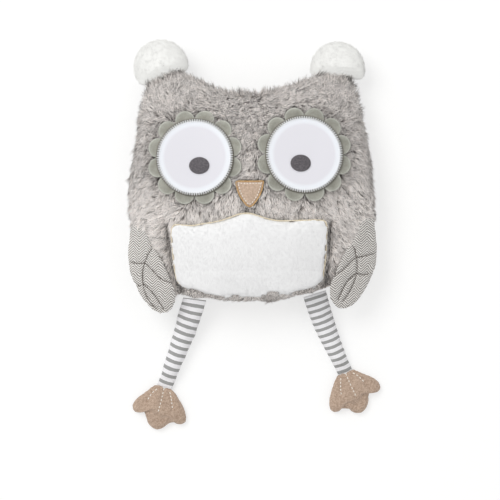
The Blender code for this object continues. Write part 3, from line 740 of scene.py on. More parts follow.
# A flat piece laid on the body: rings drawn in from its outline, each point at its own height
def laidPiece(name, outline, rings, rise, thickness, crown, material, seat=frontHeight):
    shape = bmesh.new()
    inner = shape.faces.new([shape.verts.new(point) for point in outline])
    bmesh.ops.recalc_face_normals(shape, faces=[inner])
    edge = np.array(outline)
    middle = edge.mean(axis=0)
    current = edge
    for share in rings:   # each ring is that share of the way in to the middle
        bmesh.ops.inset_region(shape, faces=[inner], thickness=0.00001, use_boundary=True)
        following = middle + (edge - middle) * (1 - share)
        for vert in inner.verts:
            vert.co = following[np.linalg.norm(current - np.array(vert.co), axis=1).argmin()]
        current = following
    bmesh.ops.poke(shape, faces=[inner])
    bmesh.ops.recalc_face_normals(shape, faces=shape.faces)
    if sum(face.normal.z for face in shape.faces) < 0:
        bmesh.ops.reverse_faces(shape, faces=shape.faces)
    inset = shape.verts.layers.float.new("inset")
    for vert in shape.verts:
        near = np.linalg.norm(edge[:, :2] - np.array(vert.co.xy), axis=1).min()
        vert[inset] = near
        share = min(near / crown["reach"], 1)
        vert.co.z = seat(*vert.co.xy) + rise + thickness + crown["height"] * (1 - (1 - share) ** 2)
    grown = set(bmesh.ops.extrude_face_region(shape, geom=shape.faces[:])["geom"])
    for vert in [vert for vert in shape.verts if vert not in grown]:   # these become the underside
        vert.co.z = min(vert.co.z, seat(*vert.co.xy) + rise + thickness) - thickness
    bmesh.ops.recalc_face_normals(shape, faces=shape.faces)
    return link(name, shape, material)


# Eyes: felt flowers, white discs with a stitched rim, embroidered pupils

eyeSet = {"petals": 12, "steps": 14, "petalReach": 0.0395, "petalRadius": 0.0104,
          "feltRise": 0.0008, "feltThickness": 0.0012, "discRise": 0.0028, "discThickness": 0.0020,
          "discCrown": 0.0003, "discRadius": 0.0373, "rimReach": 0.0397, "stitches": 100,
          "rimOver": 0.0001, "rimDrop": 0.0003, "rimRise": 0.0008, "rimTilt": 0.3,
          "shadowRingBeads": 120, "outlineOverlap": 1.1, "outlineDrop": 0.0016, "outlineIn": 0.0002,
          "discSteps": 96, "pupilSteps": 48, "pupilSunk": 0.0006,
          "stitchLength": 0.0038, "stitch": {"width": 0.00134, "height": 0.0011},
          "outline": {"width": 0.0020, "height": 0.0012}, "flatness": 0.9, "feltFlatness": 0.6,
          "pupilRise": 0.0058, "pupilThickness": 0.0007}


def feltMaterial():
    material, tree, shader = cloth("feltGreen", roughness=0.95, sheen=0.4)
    cloudy = noiseNode(tree, 0.009, 3)
    fibres = noiseNode(tree, 0.0009, 4)
    both = mathNode(tree, "ADD", mathNode(tree, "MULTIPLY", cloudy, 0.5),
                    mathNode(tree, "MULTIPLY", fibres, 0.5))
    shade = rampNode(tree, both, ((0.36, picked(212, 212, 210)), (0.64, picked(254, 254, 254))))
    inset = mathNode(tree, "MULTIPLY", attributeNode(tree, "inset"), 200)   # 1 at 5 mm in from the edge
    # painted highlight: a lighter band about 0.6 to 1.1 mm in from each petal's edge stands in for light
    # caught by the cut edge; the colour is darker right at the edge and further in
    cut = rampNode(tree, inset, ((0.0, picked(158, 157, 147)), (0.12, picked(204, 205, 196)),
                                 (0.22, picked(202, 203, 194)), (0.38, picked(178, 178, 168)),
                                 (1.0, picked(168, 167, 157))))
    feed(tree, shader["Base Color"], mixNode(tree, 1.0, cut, shade, "MULTIPLY"))
    feed(tree, shader["Normal"], bumpNode(tree, fibres, 0.0004))
    return material


def discMaterial():
    material, tree, shader = cloth("eyeSatin", roughness=0.45, sheen=0.1, shine=0.4)
    edge = attributeNode(tree, "rim")
    satin = rampNode(tree, edge, ((0.0, picked(230, 229, 235)), (0.82, picked(231, 230, 236)),
                                  (0.90, picked(241, 244, 249))))
    place = objectNode(tree)
    # painted light: the satin gets lighter towards +x, so the right eye's disc, which lies in more shade
    # from the lamp, is brightened and the left one is dimmed
    shade = mathNode(tree, "MULTIPLY_ADD", splitNode(tree, place)[0], 0.65, 1.0)
    feed(tree, shader["Base Color"], mixNode(tree, 1.0, satin, greyNode(tree, shade), "MULTIPLY"))
    weave = tree.nodes.new("ShaderNodeTexWave")
    weave.inputs["Scale"].default_value = 900
    weave.inputs["Distortion"].default_value = 1.5
    feed(tree, weave.inputs["Vector"], place)
    feed(tree, shader["Normal"], bumpNode(tree, weave.outputs["Fac"], 0.00005))
    return material


def pupilMaterial():
    material, tree, shader = cloth("pupilThread", roughness=0.8, sheen=0.2)
    specks = noiseNode(tree, 0.0010, 3)
    feed(tree, shader["Base Color"], rampNode(tree, specks, ((0.38, picked(82, 78, 82)),
                                                             (0.55, picked(100, 96, 100)),
                                                             (0.7, picked(130, 126, 130)))))
    feed(tree, shader["Normal"], bumpNode(tree, specks, 0.0006))
    return material


def petalLine(centre):
    step = math.tau / eyeSet["petals"]
    reach, radius = eyeSet["petalReach"], eyeSet["petalRadius"]
    line = []
    for petal in range(eyeSet["petals"]):
        middle = math.pi / 2 + step * (petal + 0.5)
        for k in range(eyeSet["steps"]):
            turn = step * (k / eyeSet["steps"] - 0.5)
            out = reach * math.cos(turn) + math.sqrt(radius ** 2 - (reach * math.sin(turn)) ** 2)
            line.append((centre.x + out * math.cos(middle + turn),
                         centre.y + out * math.sin(middle + turn), 0))
    return line


def ovalLine(centre, halfWidth, halfHeight, count):
    turns = [math.tau * k / count for k in range(count)]
    return [(centre.x + halfWidth * math.cos(turn), centre.y + halfHeight * math.sin(turn), 0)
            for turn in turns]


def nodeCentre(name):
    low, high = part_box(name)
    return (low + high) / 2


def makeEye(side, felt, satin, thread, dark, pupilCloth):
    centre = nodeCentre("eye_white_" + side)
    seat = seatOf(centre, eyeSet["rimReach"], eyeSet["flatness"])
    feltSeat = seatOf(centre, eyeSet["rimReach"], eyeSet["feltFlatness"])
    flower = laidPiece("petals_" + side, petalLine(centre), (0.012, 0.035, 0.08, 0.14),
                       eyeSet["feltRise"], eyeSet["feltThickness"],
                       {"height": 0.0003, "reach": 0.001}, felt, feltSeat)
    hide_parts("eye_felt_" + side)
    disc = laidPiece("eye_disc_" + side,
                     ovalLine(centre, eyeSet["discRadius"], eyeSet["discRadius"],
                              eyeSet["discSteps"]),
                     (0.012, 0.035, 0.08, 0.15, 0.3, 0.5, 0.75), eyeSet["discRise"],
                     eyeSet["discThickness"], {"height": eyeSet["discCrown"], "reach": 0.012}, satin, seat)
    points = coordinates(disc.data)
    reach = np.linalg.norm(points[:, :2] - np.array(centre.xy), axis=1) / eyeSet["discRadius"]
    disc.data.attributes.new("rim", "FLOAT", "POINT").data.foreach_set("value", reach.astype(np.float32))
    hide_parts("eye_white_" + side)

    def ringed(radius, turn, rise):
        x, y = centre.x + radius * math.cos(turn), centre.y + radius * math.sin(turn)
        return np.array((x, y, seat(x, y) + rise))

    starts, ends, normals = [], [], []
    top = eyeSet["discRise"] + eyeSet["discThickness"]
    for k in range(eyeSet["stitches"]):
        turn = math.tau * k / eyeSet["stitches"]
        ends.append(ringed(eyeSet["rimReach"] + eyeSet["rimOver"], turn, top - eyeSet["rimDrop"]))
        starts.append(ringed(eyeSet["rimReach"] - eyeSet["stitchLength"], turn,
                             top + eyeSet["rimRise"]))
        normals.append((eyeSet["rimTilt"] * math.cos(turn), eyeSet["rimTilt"] * math.sin(turn), 1))
    rim = stitchPiece("eye_stitches_" + side, starts, ends, normals, eyeSet["stitch"], thread)
    # painted shadow: a ring of dark olive beads just outside the rim stitches and under their ends, dark
    # where the stitches' shadow falls and in the gaps between them
    starts, ends, normals = [], [], []
    count, rise = eyeSet["shadowRingBeads"], top - eyeSet["outlineDrop"]
    radius = eyeSet["rimReach"] - eyeSet["outlineIn"]
    for k in range(count):
        starts.append(ringed(radius, math.tau * k / count, rise))
        ends.append(ringed(radius, math.tau * (k + eyeSet["outlineOverlap"]) / count, rise))
        normals.append((0, 0, 1))
    shadow = stitchPiece("eye_shadow_ring_" + side, starts, ends, normals, eyeSet["outline"], dark)
    middle = nodeCentre("pupil_" + side)
    low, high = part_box("pupil_" + side)
    half = (high - low) / 2
    pupil = laidPiece("pupil_dot_" + side, ovalLine(middle, half.x, half.y, eyeSet["pupilSteps"]),
                      (0.04, 0.1, 0.25, 0.5, 0.75), eyeSet["pupilRise"] - eyeSet["pupilSunk"],
                      eyeSet["pupilThickness"], {"height": 0.0006, "reach": 0.003}, pupilCloth, seat)
    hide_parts("pupil_" + side)
    for piece in (flower, disc, rim, shadow, pupil):
        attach(piece, "body")
    return flower, disc


print("eyes")
feltCloth, satinCloth, pupilCloth = feltMaterial(), discMaterial(), pupilMaterial()
whiteThread = threadMaterial("whiteThread", (253, 253, 253), (243, 245, 248))
# dark olive for the painted shadow round each eye's rim stitches
olivePaintedShadow = threadMaterial("olivePaintedShadow", (104, 98, 82), (70, 64, 52))
eyes = [makeEye(side, feltCloth, satinCloth, whiteThread, olivePaintedShadow, pupilCloth) for side in sides]

# Beak: linen with a satin-stitched border and a light running stitch inside it

beakSet = {"rise": 0.0008, "thickness": 0.002, "crown": {"height": 0.0012, "reach": 0.006},
           "borderOut": 0.0007, "borderIn": 0.0003, "satinPitch": 0.0007,
           "satin": {"width": 0.0008, "height": 0.0010},
           "runIn": 0.0021, "runPitch": 0.0030, "run": {"width": 0.0013, "height": 0.0010},
           "fuller": 0.0016, "corners": ((-0.0178, 0.0092), (0.0130, 0.0092)),
          "cornerPull": 0.6, "cornerReach": 0.0028, "borderTop": 0.0010, "borderFoot": 0.0002,
          "runShare": 0.6, "runRise": 0.0012, "linen": ((180, 154, 134), (224, 200, 178))}


def linenMaterial(name, deeper, paler, pitch):
    material, tree, shader = cloth(name, roughness=0.92, sheen=0.25)
    x, y, _ = splitNode(tree, objectNode(tree))
    wobble = mathNode(tree, "MULTIPLY", noiseNode(tree, 0.006, 2), 0.9)
    threads = []
    for along in (x, y):
        turned = mathNode(tree, "ADD", mathNode(tree, "MULTIPLY", along, math.tau / pitch),
                          mathNode(tree, "MULTIPLY", wobble, 4))
        threads.append(mathNode(tree, "SINE", turned))
    grid = mathNode(tree, "MULTIPLY", threads[0], threads[1])
    slubs = noiseNode(tree, 0.0018, 3)
    height = mathNode(tree, "ADD", mathNode(tree, "MULTIPLY", grid, 0.22), slubs)
    stops = ((0.25, picked(*deeper)), (0.75, picked(*paler)))
    feed(tree, shader["Base Color"], rampNode(tree, height, stops))
    feed(tree, shader["Normal"], bumpNode(tree, height, 0.0005))
    return material


def makeBeak():
    linen = linenMaterial("beakLinen", *beakSet["linen"], 0.0011)
    line = smoothLoop(rimOf("beak"), 72)
    drop = (line[:, 1].max() - line[:, 1]) / (line[:, 1].max() - line[:, 1].min())
    fuller = beakSet["fuller"] * np.sin(math.pi * np.clip(drop, 0, 1)) ** 1.5
    line[:, :2] += outwards(line) * fuller[:, None]
    for corner in beakSet["corners"]:   # the two upper corners are sharp
        apart = np.linalg.norm(line[:, :2] - np.array(corner), axis=1)
        pull = np.exp(-(apart / beakSet["cornerReach"]) ** 2)[:, None]
        line[:, :2] += (np.array(corner) - line[:, :2]) * beakSet["cornerPull"] * pull
    piece = laidPiece("beak_linen", [(*p[:2], 0) for p in line], (0.03, 0.08, 0.2, 0.4, 0.7),
                      beakSet["rise"], beakSet["thickness"], beakSet["crown"], linen)
    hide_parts("beak")
    flat = line[:, :2]
    closed = np.vstack([flat, flat[:1]])
    count = round(lengthOf(closed) / beakSet["satinPitch"])
    edge = evenly(closed, count + 1)[:-1]
    starts, ends = [], []
    top = beakSet["rise"] + beakSet["thickness"]
    for (x, y), (u, v) in zip(edge, outwards(edge)):
        inner = (x - u * beakSet["borderIn"], y - v * beakSet["borderIn"])
        outer = (x + u * beakSet["borderOut"], y + v * beakSet["borderOut"])
        starts.append((*inner, frontHeight(*inner) + top + beakSet["borderTop"]))
        ends.append((*outer, frontHeight(*outer) + top + beakSet["borderFoot"]))
    gold = threadMaterial("goldThread", (238, 200, 138), (192, 142, 76))
    border = stitchPiece("beak_satin", starts, ends, [(0, 0, 1)] * count, beakSet["satin"], gold)
    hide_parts("beak_border")
    inside = flat - outwards(line) * beakSet["runIn"]
    starts, ends = runningEnds(np.vstack([inside, inside[:1]]), beakSet["runPitch"],
                               beakSet["runShare"])
    lift = top + beakSet["runRise"]
    starts = [(*p, frontHeight(*p) + lift) for p in starts]
    ends = [(*p, frontHeight(*p) + lift) for p in ends]
    pale = threadMaterial("paleThread", (254, 249, 240), (240, 228, 210))
    run = stitchPiece("beak_running_stitch", starts, ends, [(0, 0, 1)] * len(starts), beakSet["run"], pale)
    for item in (piece, border, run):
        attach(item, "body")
    return piece, border


print("beak")
beakPieces = makeBeak()

# Belly panel: a padded white plush panel with a thin two-ply cord round its top and sides

panelSet = {"voxel": 0.0030, "smoothing": 4, "inside": 0.0002, "locks": 5000,
            "edgePasses": ((0.008, 3), (0.006, 2), (0.006, 2)), "hem": 0.016, "hemSmoothing": 3,
            "hangReach": 0.012, "lowerShare": 0.3, "facing": 0.3,
            "length": 0.0030, "radius": 0.00022, "spacing": 0.0040, "lift": 0.06, "puffRise": 0.0044,
            "cordRadius": 0.00044, "cordPitch": 0.0030, "cordRise": 0.0054, "cordIn": 0.0002,
            "cordEnd": 0.10,
            "lowerEdge": ((-0.0735, -0.1027), (-0.0611, -0.1033), (-0.0538, -0.1054), (-0.0466, -0.1106),
                          (-0.0378, -0.1127), (-0.0249, -0.1114), (-0.0160, -0.1102), (-0.0015, -0.1121),
                          (0.0103, -0.1114), (0.0176, -0.1071), (0.0202, -0.1063), (0.0305, -0.1085),
                          (0.0403, -0.1100), (0.0507, -0.1054), (0.0620, -0.1020), (0.0724, -0.0982))}
panelFill = {"drawIn": 0.0010, "stiffness": 10, "bending": 0.2, "pressure": 4.0, "slack": 0.05,
             "cap": 0.0030}


def makePanel():
    shape = nodeShape("belly_panel")
    piece = link("panel_pad", shape, backingMaterial("panelBacking", (250, 250, 250), 0.985, 0.00016))
    remeshed(piece, panelSet["voxel"], panelSet["smoothing"])
    stuffed(piece, panelFill)
    outline = smoothLoop(rimOf("belly_panel"), 240)
    low, high = outline[:, 1].min(), outline[:, 1].max()
    hang = np.array(panelSet["lowerEdge"])   # the plush swells over its lower seam
    hangs = np.interp(outline[:, 0], hang[:, 0], hang[:, 1])
    within = (outline[:, 0] > hang[0, 0]) & (outline[:, 0] < hang[-1, 0])
    outline[:, 1] = np.where(within & (outline[:, 1] < hangs + panelSet["hangReach"]), hangs, outline[:, 1])
    outline = evenly(np.vstack([outline, outline[:1]]), 241)[:-1]
    rounder = np.mean([np.roll(outline, k, axis=0) for k in (-2, -1, 0, 1, 2)], axis=0)
    outline += (rounder - outline) * (outline[:, 1] < low + panelSet["hangReach"])[:, None]
    for width, even in panelSet["edgePasses"]:
        drawnOut(piece, outline, width, panelSet["inside"], even)
        shape = bmesh.new()
        shape.from_mesh(piece.data)
        hem = [vert for vert in shape.verts if vert.co.y < low + panelSet["hem"]]
        for _ in range(panelSet["hemSmoothing"]):
            relax(shape, hem)
        shape.to_mesh(piece.data)
        shape.free()
    drawnOut(piece, outline, panelSet["edgePasses"][-1][0], panelSet["inside"], 2)
    finer(piece)
    points = coordinates(piece.data)
    facing = np.array([vert.normal.z for vert in piece.data.vertices])
    lower = np.clip(1 - (points[:, 1] - low) / (panelSet["lowerShare"] * (high - low)), 0, 1)
    points[:, 2] += panelSet["puffRise"] * np.clip(facing + panelSet["facing"], 0, 1) * lower
    steep = (points[:, 1] < low + panelSet["hem"]) & (facing < panelSet["facing"])
    for k in np.nonzero(steep)[0]:   # the lower side meets the fur
        points[k, 2] = min(points[k, 2], frontHeight(*points[k, :2]))
    moveTo(piece.data, points)
    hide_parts("belly_panel")
    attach(piece, "body")
    return piece


def makePanelPile(pad):
    roots, normals = scattered(pad, panelSet["locks"] * 2, 21)
    keep = normals[:, 2] > -0.1
    roots, normals = roots[keep], normals[keep]
    draw = np.random.default_rng(22)
    centres, nearest = tufts(roots, panelSet["spacing"], 23)
    ways = np.zeros_like(roots)
    ways[:, 0] = 0.25 * ripple(roots, 0.03, 24) + 0.25 * draw.normal(size=len(centres))[nearest]
    ways[:, 1] = -1
    ways = tangent(ways + 0.25 * draw.normal(size=ways.shape), normals)
    length = panelSet["length"] * (0.8 + 0.5 * draw.random(len(roots)))
    lift = panelSet["lift"] * (0.8 + 0.4 * draw.random(len(roots)))
    reach = length[:, None] * (ways * np.sqrt(1 - lift ** 2)[:, None] + normals * lift[:, None])
    tips = roots + reach
    tips += (centres[nearest] + reach - tips) * 0.25
    bends = roots + length[:, None] * (normals * 0.07 + ways * 0.3)
    tints = mottled(draw, centres, nearest)
    pile = {"radius": panelSet["radius"], "fullness": 2.2, "cuts": 1, "level": 0.95, "up": 0.6,
            "upFrom": 0.4}
    piece = lockPiece("panel_pile", roots - normals * 0.0002, bends, tips, normals, pile, tints,
                      pileMaterial("whitePlush"))
    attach(piece, "body")
    print("panel pile", len(piece.data.polygons))


def makePanelCord():
    line = smoothLoop(rimOf("belly_panel"), 320)
    low = line[:, 1].min() + panelSet["cordEnd"] * (line[:, 1].max() - line[:, 1].min())
    keep = line[:, 1] > low
    start = next(k for k in range(len(keep)) if keep[k] and not keep[k - 1])
    run = np.array([line[(start + k) % len(line)] for k in range(int(keep.sum()))])
    ahead = np.gradient(run[:, :2], axis=0)
    side = unit(np.column_stack([ahead[:, 1], -ahead[:, 0]]))
    run[:, :2] -= side * panelSet["cordIn"]
    for point in run:
        point[2] = frontHeight(*point[:2], 0.003) + panelSet["cordRise"]
    length = lengthOf(run)
    turns = length / panelSet["cordPitch"]
    print("panel cord, metres", round(length, 4))
    dense = evenly(np.column_stack([run, side]), int(turns * 8))
    gold = threadMaterial("edgingThread", (246, 236, 214), (218, 202, 170))
    curve = bpy.data.curves.new("panel_cord", "CURVE")
    curve.dimensions = "3D"
    curve.bevel_depth = panelSet["cordRadius"]
    curve.bevel_resolution = 1
    curve.use_fill_caps = True
    for strand in (0, math.pi):
        spline = curve.splines.new("POLY")
        spline.points.add(len(dense) - 1)
        for k, (x, y, z, u, v) in enumerate(dense):
            turn = math.tau * turns * k / len(dense) + strand
            reach = panelSet["cordRadius"] * 0.9
            spline.points[k].co = (x + u * reach * math.cos(turn), y + v * reach * math.cos(turn),
                                   z + reach * math.sin(turn), 1)
    curve.materials.append(gold)
    made = placed("panel_cord_curve", curve)
    bpy.context.view_layer.update()
    mesh = bpy.data.meshes.new_from_object(made.evaluated_get(bpy.context.evaluated_depsgraph_get()))
    bpy.data.objects.remove(made)
    mesh.shade_smooth()
    piece = placed("panel_cord", mesh)
    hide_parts("belly_cord")
    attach(piece, "body")


print("belly panel")
panelPad = makePanel()
makePanelPile(panelPad)
makePanelCord()

# Wings: a herringbone cloth, quilted along stitched feather lines

wingSet = {"voxel": 0.0015, "smoothing": 3, "edgeWidth": 0.005, "width": 0.0504, "length": 0.0945,
           "grooveDepth": 0.0016, "grooveWidth": 0.0014, "pitch": 0.0026,
           "stitch": {"width": 0.0011, "height": 0.0009}, "strokePitch": 0.0026, "rowWidth": 0.0068,
           "cloth": ((118, 113, 107), (238, 235, 231)), "blendReach": 0.010}
wingFill = {"drawIn": 0.0004, "stiffness": 12, "bending": 0.5, "pressure": 3.0, "slack": 0.03,
            "cap": 0.0012}
# Feather lines, as shares inwards from the hinge and down from the wing's top
featherLines = {
    "left": (((0.47, 0.27), (0.36, 0.34), (0.28, 0.436), (0.14, 0.45), (-0.02, 0.436)),
             ((0.28, 0.436), (0.24, 0.54), (0.243, 0.67), (0.30, 0.79), (0.43, 0.906), (0.54, 0.955)),
             ((0.243, 0.67), (0.17, 0.70), (0.08, 0.68)),
             ((0.28, 0.436), (0.40, 0.50), (0.466, 0.534), (0.60, 0.61), (0.70, 0.64), (0.84, 0.66)),
             ((0.243, 0.67), (0.373, 0.73), (0.50, 0.81), (0.60, 0.89), (0.68, 0.96))),
    "right": (((0.47, 0.30), (0.40, 0.35), (0.36, 0.433), (0.16, 0.417), (-0.02, 0.395)),
              ((0.36, 0.433), (0.35, 0.53), (0.36, 0.607), (0.40, 0.69), (0.50, 0.81), (0.637, 0.924)),
              ((0.36, 0.607), (0.25, 0.63), (0.10, 0.62)),
              ((0.36, 0.433), (0.47, 0.48), (0.563, 0.53), (0.68, 0.59), (0.82, 0.63)),
              ((0.36, 0.607), (0.46, 0.65), (0.563, 0.708), (0.66, 0.80), (0.75, 0.91)))}


def herringboneMaterial():
    material, tree, shader = cloth("herringbone", roughness=0.92, sheen=0.2)
    x, y, _ = splitNode(tree, objectNode(tree))
    wobble = mathNode(tree, "MULTIPLY", noiseNode(tree, 0.012, 2), 0.004)
    across = mathNode(tree, "ADD", x, wobble)
    row = mathNode(tree, "DIVIDE", across, wingSet["rowWidth"])
    zigzag = mathNode(tree, "PINGPONG", row, 1.0)
    slope = mathNode(tree, "MULTIPLY", zigzag, wingSet["rowWidth"] * 0.9)
    along = mathNode(tree, "ADD", mathNode(tree, "ADD", y, slope), mathNode(tree, "MULTIPLY", wobble, 0.5))
    stroke = mathNode(tree, "SINE", mathNode(tree, "MULTIPLY", along, math.tau / wingSet["strokePitch"]))
    patchy = noiseNode(tree, 0.0016, 3)
    height = mathNode(tree, "ADD", mathNode(tree, "MULTIPLY", stroke, 0.36),
                      mathNode(tree, "MULTIPLY_ADD", patchy, 0.5, 0.25))
    deep, pale = wingSet["cloth"]
    feed(tree, shader["Base Color"], rampNode(tree, height, ((0.24, picked(*deep)), (0.66, picked(*pale)))))
    feed(tree, shader["Normal"], bumpNode(tree, height, 0.0004))
    return material


# Stitches along lines in plan, laid on a piece's upper surface
def surfaceStitches(name, piece, lines, pitch, share, thread, rise, material):
    tree = treeOf(piece)
    starts, ends, normals = [], [], []
    for line in lines:
        for a, b in zip(*runningEnds(line, pitch, share)):
            hits = [fromAbove(tree, *p) for p in (a, b)]
            if all(hit[0] for hit in hits):
                starts.append(hits[0][0] + hits[0][1] * rise)
                ends.append(hits[1][0] + hits[1][1] * rise)
                normals.append(hits[0][1])
    return stitchPiece(name, starts, ends, normals, thread, material)


def makeWing(side, fabric, thread):
    hinge = Vector(joints["wing_" + side + "_flap"]["pos_m"])
    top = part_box("wing_front_" + side)[1].y
    piece = link("wing_quilt_" + side, outsideOf("wing_front_" + side, "wing_back_" + side), fabric)
    remeshed(piece, wingSet["voxel"], wingSet["smoothing"])
    stuffed(piece, wingFill)
    drawnOut(piece, smoothLoop(rimOf("wing_front_" + side), 240), wingSet["edgeWidth"])
    finer(piece)
    lines = []
    for shares in featherLines[side]:
        corner = [(hinge.x - outward[side] * u * wingSet["width"], top - v * wingSet["length"])
                  for u, v in shares]
        lines.append(curved(corner))
    points, normals = coordinates(piece.data), coordinates(piece.data, "normal")
    gap = lineDistance(points, lines)
    sink = wingSet["grooveDepth"] * np.exp(-(gap / wingSet["grooveWidth"]) ** 2)
    puff = 0.0007 * np.clip(gap / 0.006, 0, 1) - 0.0003
    moveTo(piece.data, points + normals * (puff - sink)[:, None])
    seam = surfaceStitches("wing_stitches_" + side, piece, lines, wingSet["pitch"], 0.8,
                           wingSet["stitch"], 0.0001, thread)
    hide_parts("wing_front_" + side, "wing_back_" + side, "wing_wadding_" + side)
    for item in (piece, seam):
        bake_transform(item)
    return piece


print("wings")
herringbone = herringboneMaterial()
brownThread = threadMaterial("brownThread", (104, 94, 87), (70, 62, 57))
wings = [makeWing(side, herringbone, brownThread) for side in sides]

# Legs: striped jersey tubes, sewn flat into the bottom seam and into the foot

legSet = {"topHalfWidth": 0.0122, "sides": 28, "rings": 72, "lowest": 0.0055, "thinnest": 0.0002,
          "sections": ((0.0, 1.0, 0.045, 0.0), (0.05, 1.0, 0.12, 0.07), (0.13, 1.0, 0.5, 0.3),
                       (0.24, 0.98, 0.82, 0.66), (0.38, 0.93, 0.91, 0.95), (0.6, 0.8, 0.8, 1.0),
                       (0.82, 0.69, 0.69, 1.0), (0.92, 0.66, 0.42, 1.0), (1.0, 0.66, 0.06, 1.0)),
          "square": 0.25, "bow": {"left": 0.001, "right": 0.002},
          "stripes": {"left": 12.53, "right": 12.9}, "stripeStart": {"left": 0.21, "right": 0.48},
          "greyShare": 0.43, "gap": 0.0004}


def jerseyMaterial(side):
    material, tree, shader = cloth("stripedJersey_" + side, roughness=0.88, sheen=0.25)
    along = attributeNode(tree, "down")
    wavy = mathNode(tree, "MULTIPLY", noiseNode(tree, 0.01, 2), 0.16)
    count = mathNode(tree, "MULTIPLY_ADD", along, legSet["stripes"][side], legSet["stripeStart"][side])
    count = mathNode(tree, "ADD", count, wavy)
    share = mathNode(tree, "FRACT", count)
    fray = mathNode(tree, "MULTIPLY", noiseNode(tree, 0.0006, 2), 0.08)
    edge = mathNode(tree, "ADD", share, fray)
    grey, white = picked(164, 164, 163), picked(252, 251, 253)
    soft = 0.04
    stops = ((0.0, grey), (legSet["greyShare"], grey), (legSet["greyShare"] + soft, white),
             (0.98, white), (1.0, grey))
    feed(tree, shader["Base Color"], rampNode(tree, edge, stops))
    around = attributeNode(tree, "around")
    ribs = mathNode(tree, "SINE", mathNode(tree, "MULTIPLY", around, math.tau * 70))
    rows = mathNode(tree, "SINE", mathNode(tree, "MULTIPLY", along, math.tau * 110))
    knit = mathNode(tree, "MULTIPLY", ribs, rows)
    feed(tree, shader["Normal"], bumpNode(tree, knit, 0.00012, 0.7))
    return material


def makeLeg(side):
    hip = Vector(joints["hip_" + side]["pos_m"])
    ankle = Vector(joints["ankle_" + side]["pos_m"])
    seam = Vector(joints["hip_" + side]["axis"])
    flat = Vector((ankle.x - hip.x, ankle.y - hip.y, 0))
    way = flat.normalized()
    length = flat.length - legSet["gap"] * 2
    square = Vector((way.y, -way.x, 0))
    square = square if square.dot(seam) > 0 else -square
    inward = Vector((-outward[side], 0, 0))
    table = np.array(legSet["sections"])
    places = np.linspace(0, 1, legSet["rings"])
    blurred = np.linspace(-0.03, 0.03, 5)
    sections = [np.mean([[np.interp(np.clip(p + b, 0, 1), table[:, 0], table[:, k])
                          for k in (1, 2, 3)] for b in (blurred if 0.02 < p < 0.98 else (0,))], axis=0)
                for p in places]
    shape = bmesh.new()
    down = shape.verts.layers.float.new("down")
    around = shape.verts.layers.float.new("around")
    ring = bmesh.ops.create_circle(shape, cap_ends=False, radius=1, segments=legSet["sides"])["verts"]
    draw = np.random.default_rng({"left": 31, "right": 32}[side])
    dents = draw.normal(size=(6, 3))
    for k, (place, (width, depth, drop)) in enumerate(zip(places, sections)):
        if k:
            edges = list({edge for vert in ring for edge in vert.link_edges
                          if edge.verts[0] in ring and edge.verts[1] in ring})
            grown = bmesh.ops.extrude_edge_only(shape, edges=edges)["geom"]
            fresh = [item for item in grown if isinstance(item, bmesh.types.BMVert)]
            ring = [min(fresh, key=lambda v: (v.co - old.co).length) for old in ring]
        across = seam.lerp(square, min(1.0, place / legSet["square"])).normalized()
        halfWidth = legSet["topHalfWidth"] * width
        halfDepth = max(legSet["topHalfWidth"] * depth, legSet["thinnest"])
        low = max(legSet["topHalfWidth"] * depth, legSet["lowest"])
        middle = Vector((hip.x, hip.y, hip.z + (low - hip.z) * drop))
        middle += way * (length * place + legSet["gap"])
        middle += inward * legSet["bow"][side] * math.sin(math.pi * place)
        for j, vert in enumerate(ring):
            turn = math.tau * j / legSet["sides"]
            dent = sum(0.00022 * math.sin(a * 3 * turn + b * 9 + place * 40 * c) for a, b, c in dents[:3])
            dent *= math.sin(math.pi * place) ** 0.5
            vert.co = (middle + across * (halfWidth + dent) * math.cos(turn)
                       + Vector((0, 0, (halfDepth + dent) * math.sin(turn))))
            curl = 0.0010 * math.cos(turn) ** 2 * min(1, 4 * place)   # a stripe bends round the leg
            vert[down] = place + curl / length
            vert[around] = j / legSet["sides"]
    ends = [edge for edge in shape.edges if edge.is_boundary]
    bmesh.ops.holes_fill(shape, edges=ends, sides=legSet["sides"])
    bmesh.ops.recalc_face_normals(shape, faces=shape.faces)
    piece = link("leg_jersey_" + side, shape, jerseyMaterial(side))
    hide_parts("leg_sleeve_" + side, "leg_stuffing_" + side)
    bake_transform(piece)


print("legs")
for side in sides:
    makeLeg(side)

# Feet: brown linen, stuffed, with cream stitches from the ankle to the webs between the toes

footSet = {"voxel": 0.0014, "smoothing": 2, "edgeWidth": 0.005, "length": 0.0437, "halfWidth": 0.0277,
           "lean": {"left": -10.0, "right": 20.5}, "pitch": 0.0038, "fuller": 0.0010,
           "stitch": {"width": 0.0013, "height": 0.0010}, "grooveDepth": 0.0010, "grooveWidth": 0.0016,
           "linen": ((158, 132, 113), (214, 191, 171)), "blendReach": 0.009}
footFill = {"drawIn": 0.0006, "stiffness": 10, "bending": 0.3, "pressure": 4.0, "slack": 0.05,
            "cap": 0.0016}
# Stitch lines, as shares out to the side and along the foot
webLines = (((0.26, 0.06), (0.42, 0.18), (0.56, 0.38)),
            ((0.00, 0.02), (0.02, 0.30), (0.06, 0.62)),
            ((-0.24, 0.08), (-0.36, 0.26), (-0.46, 0.48)))


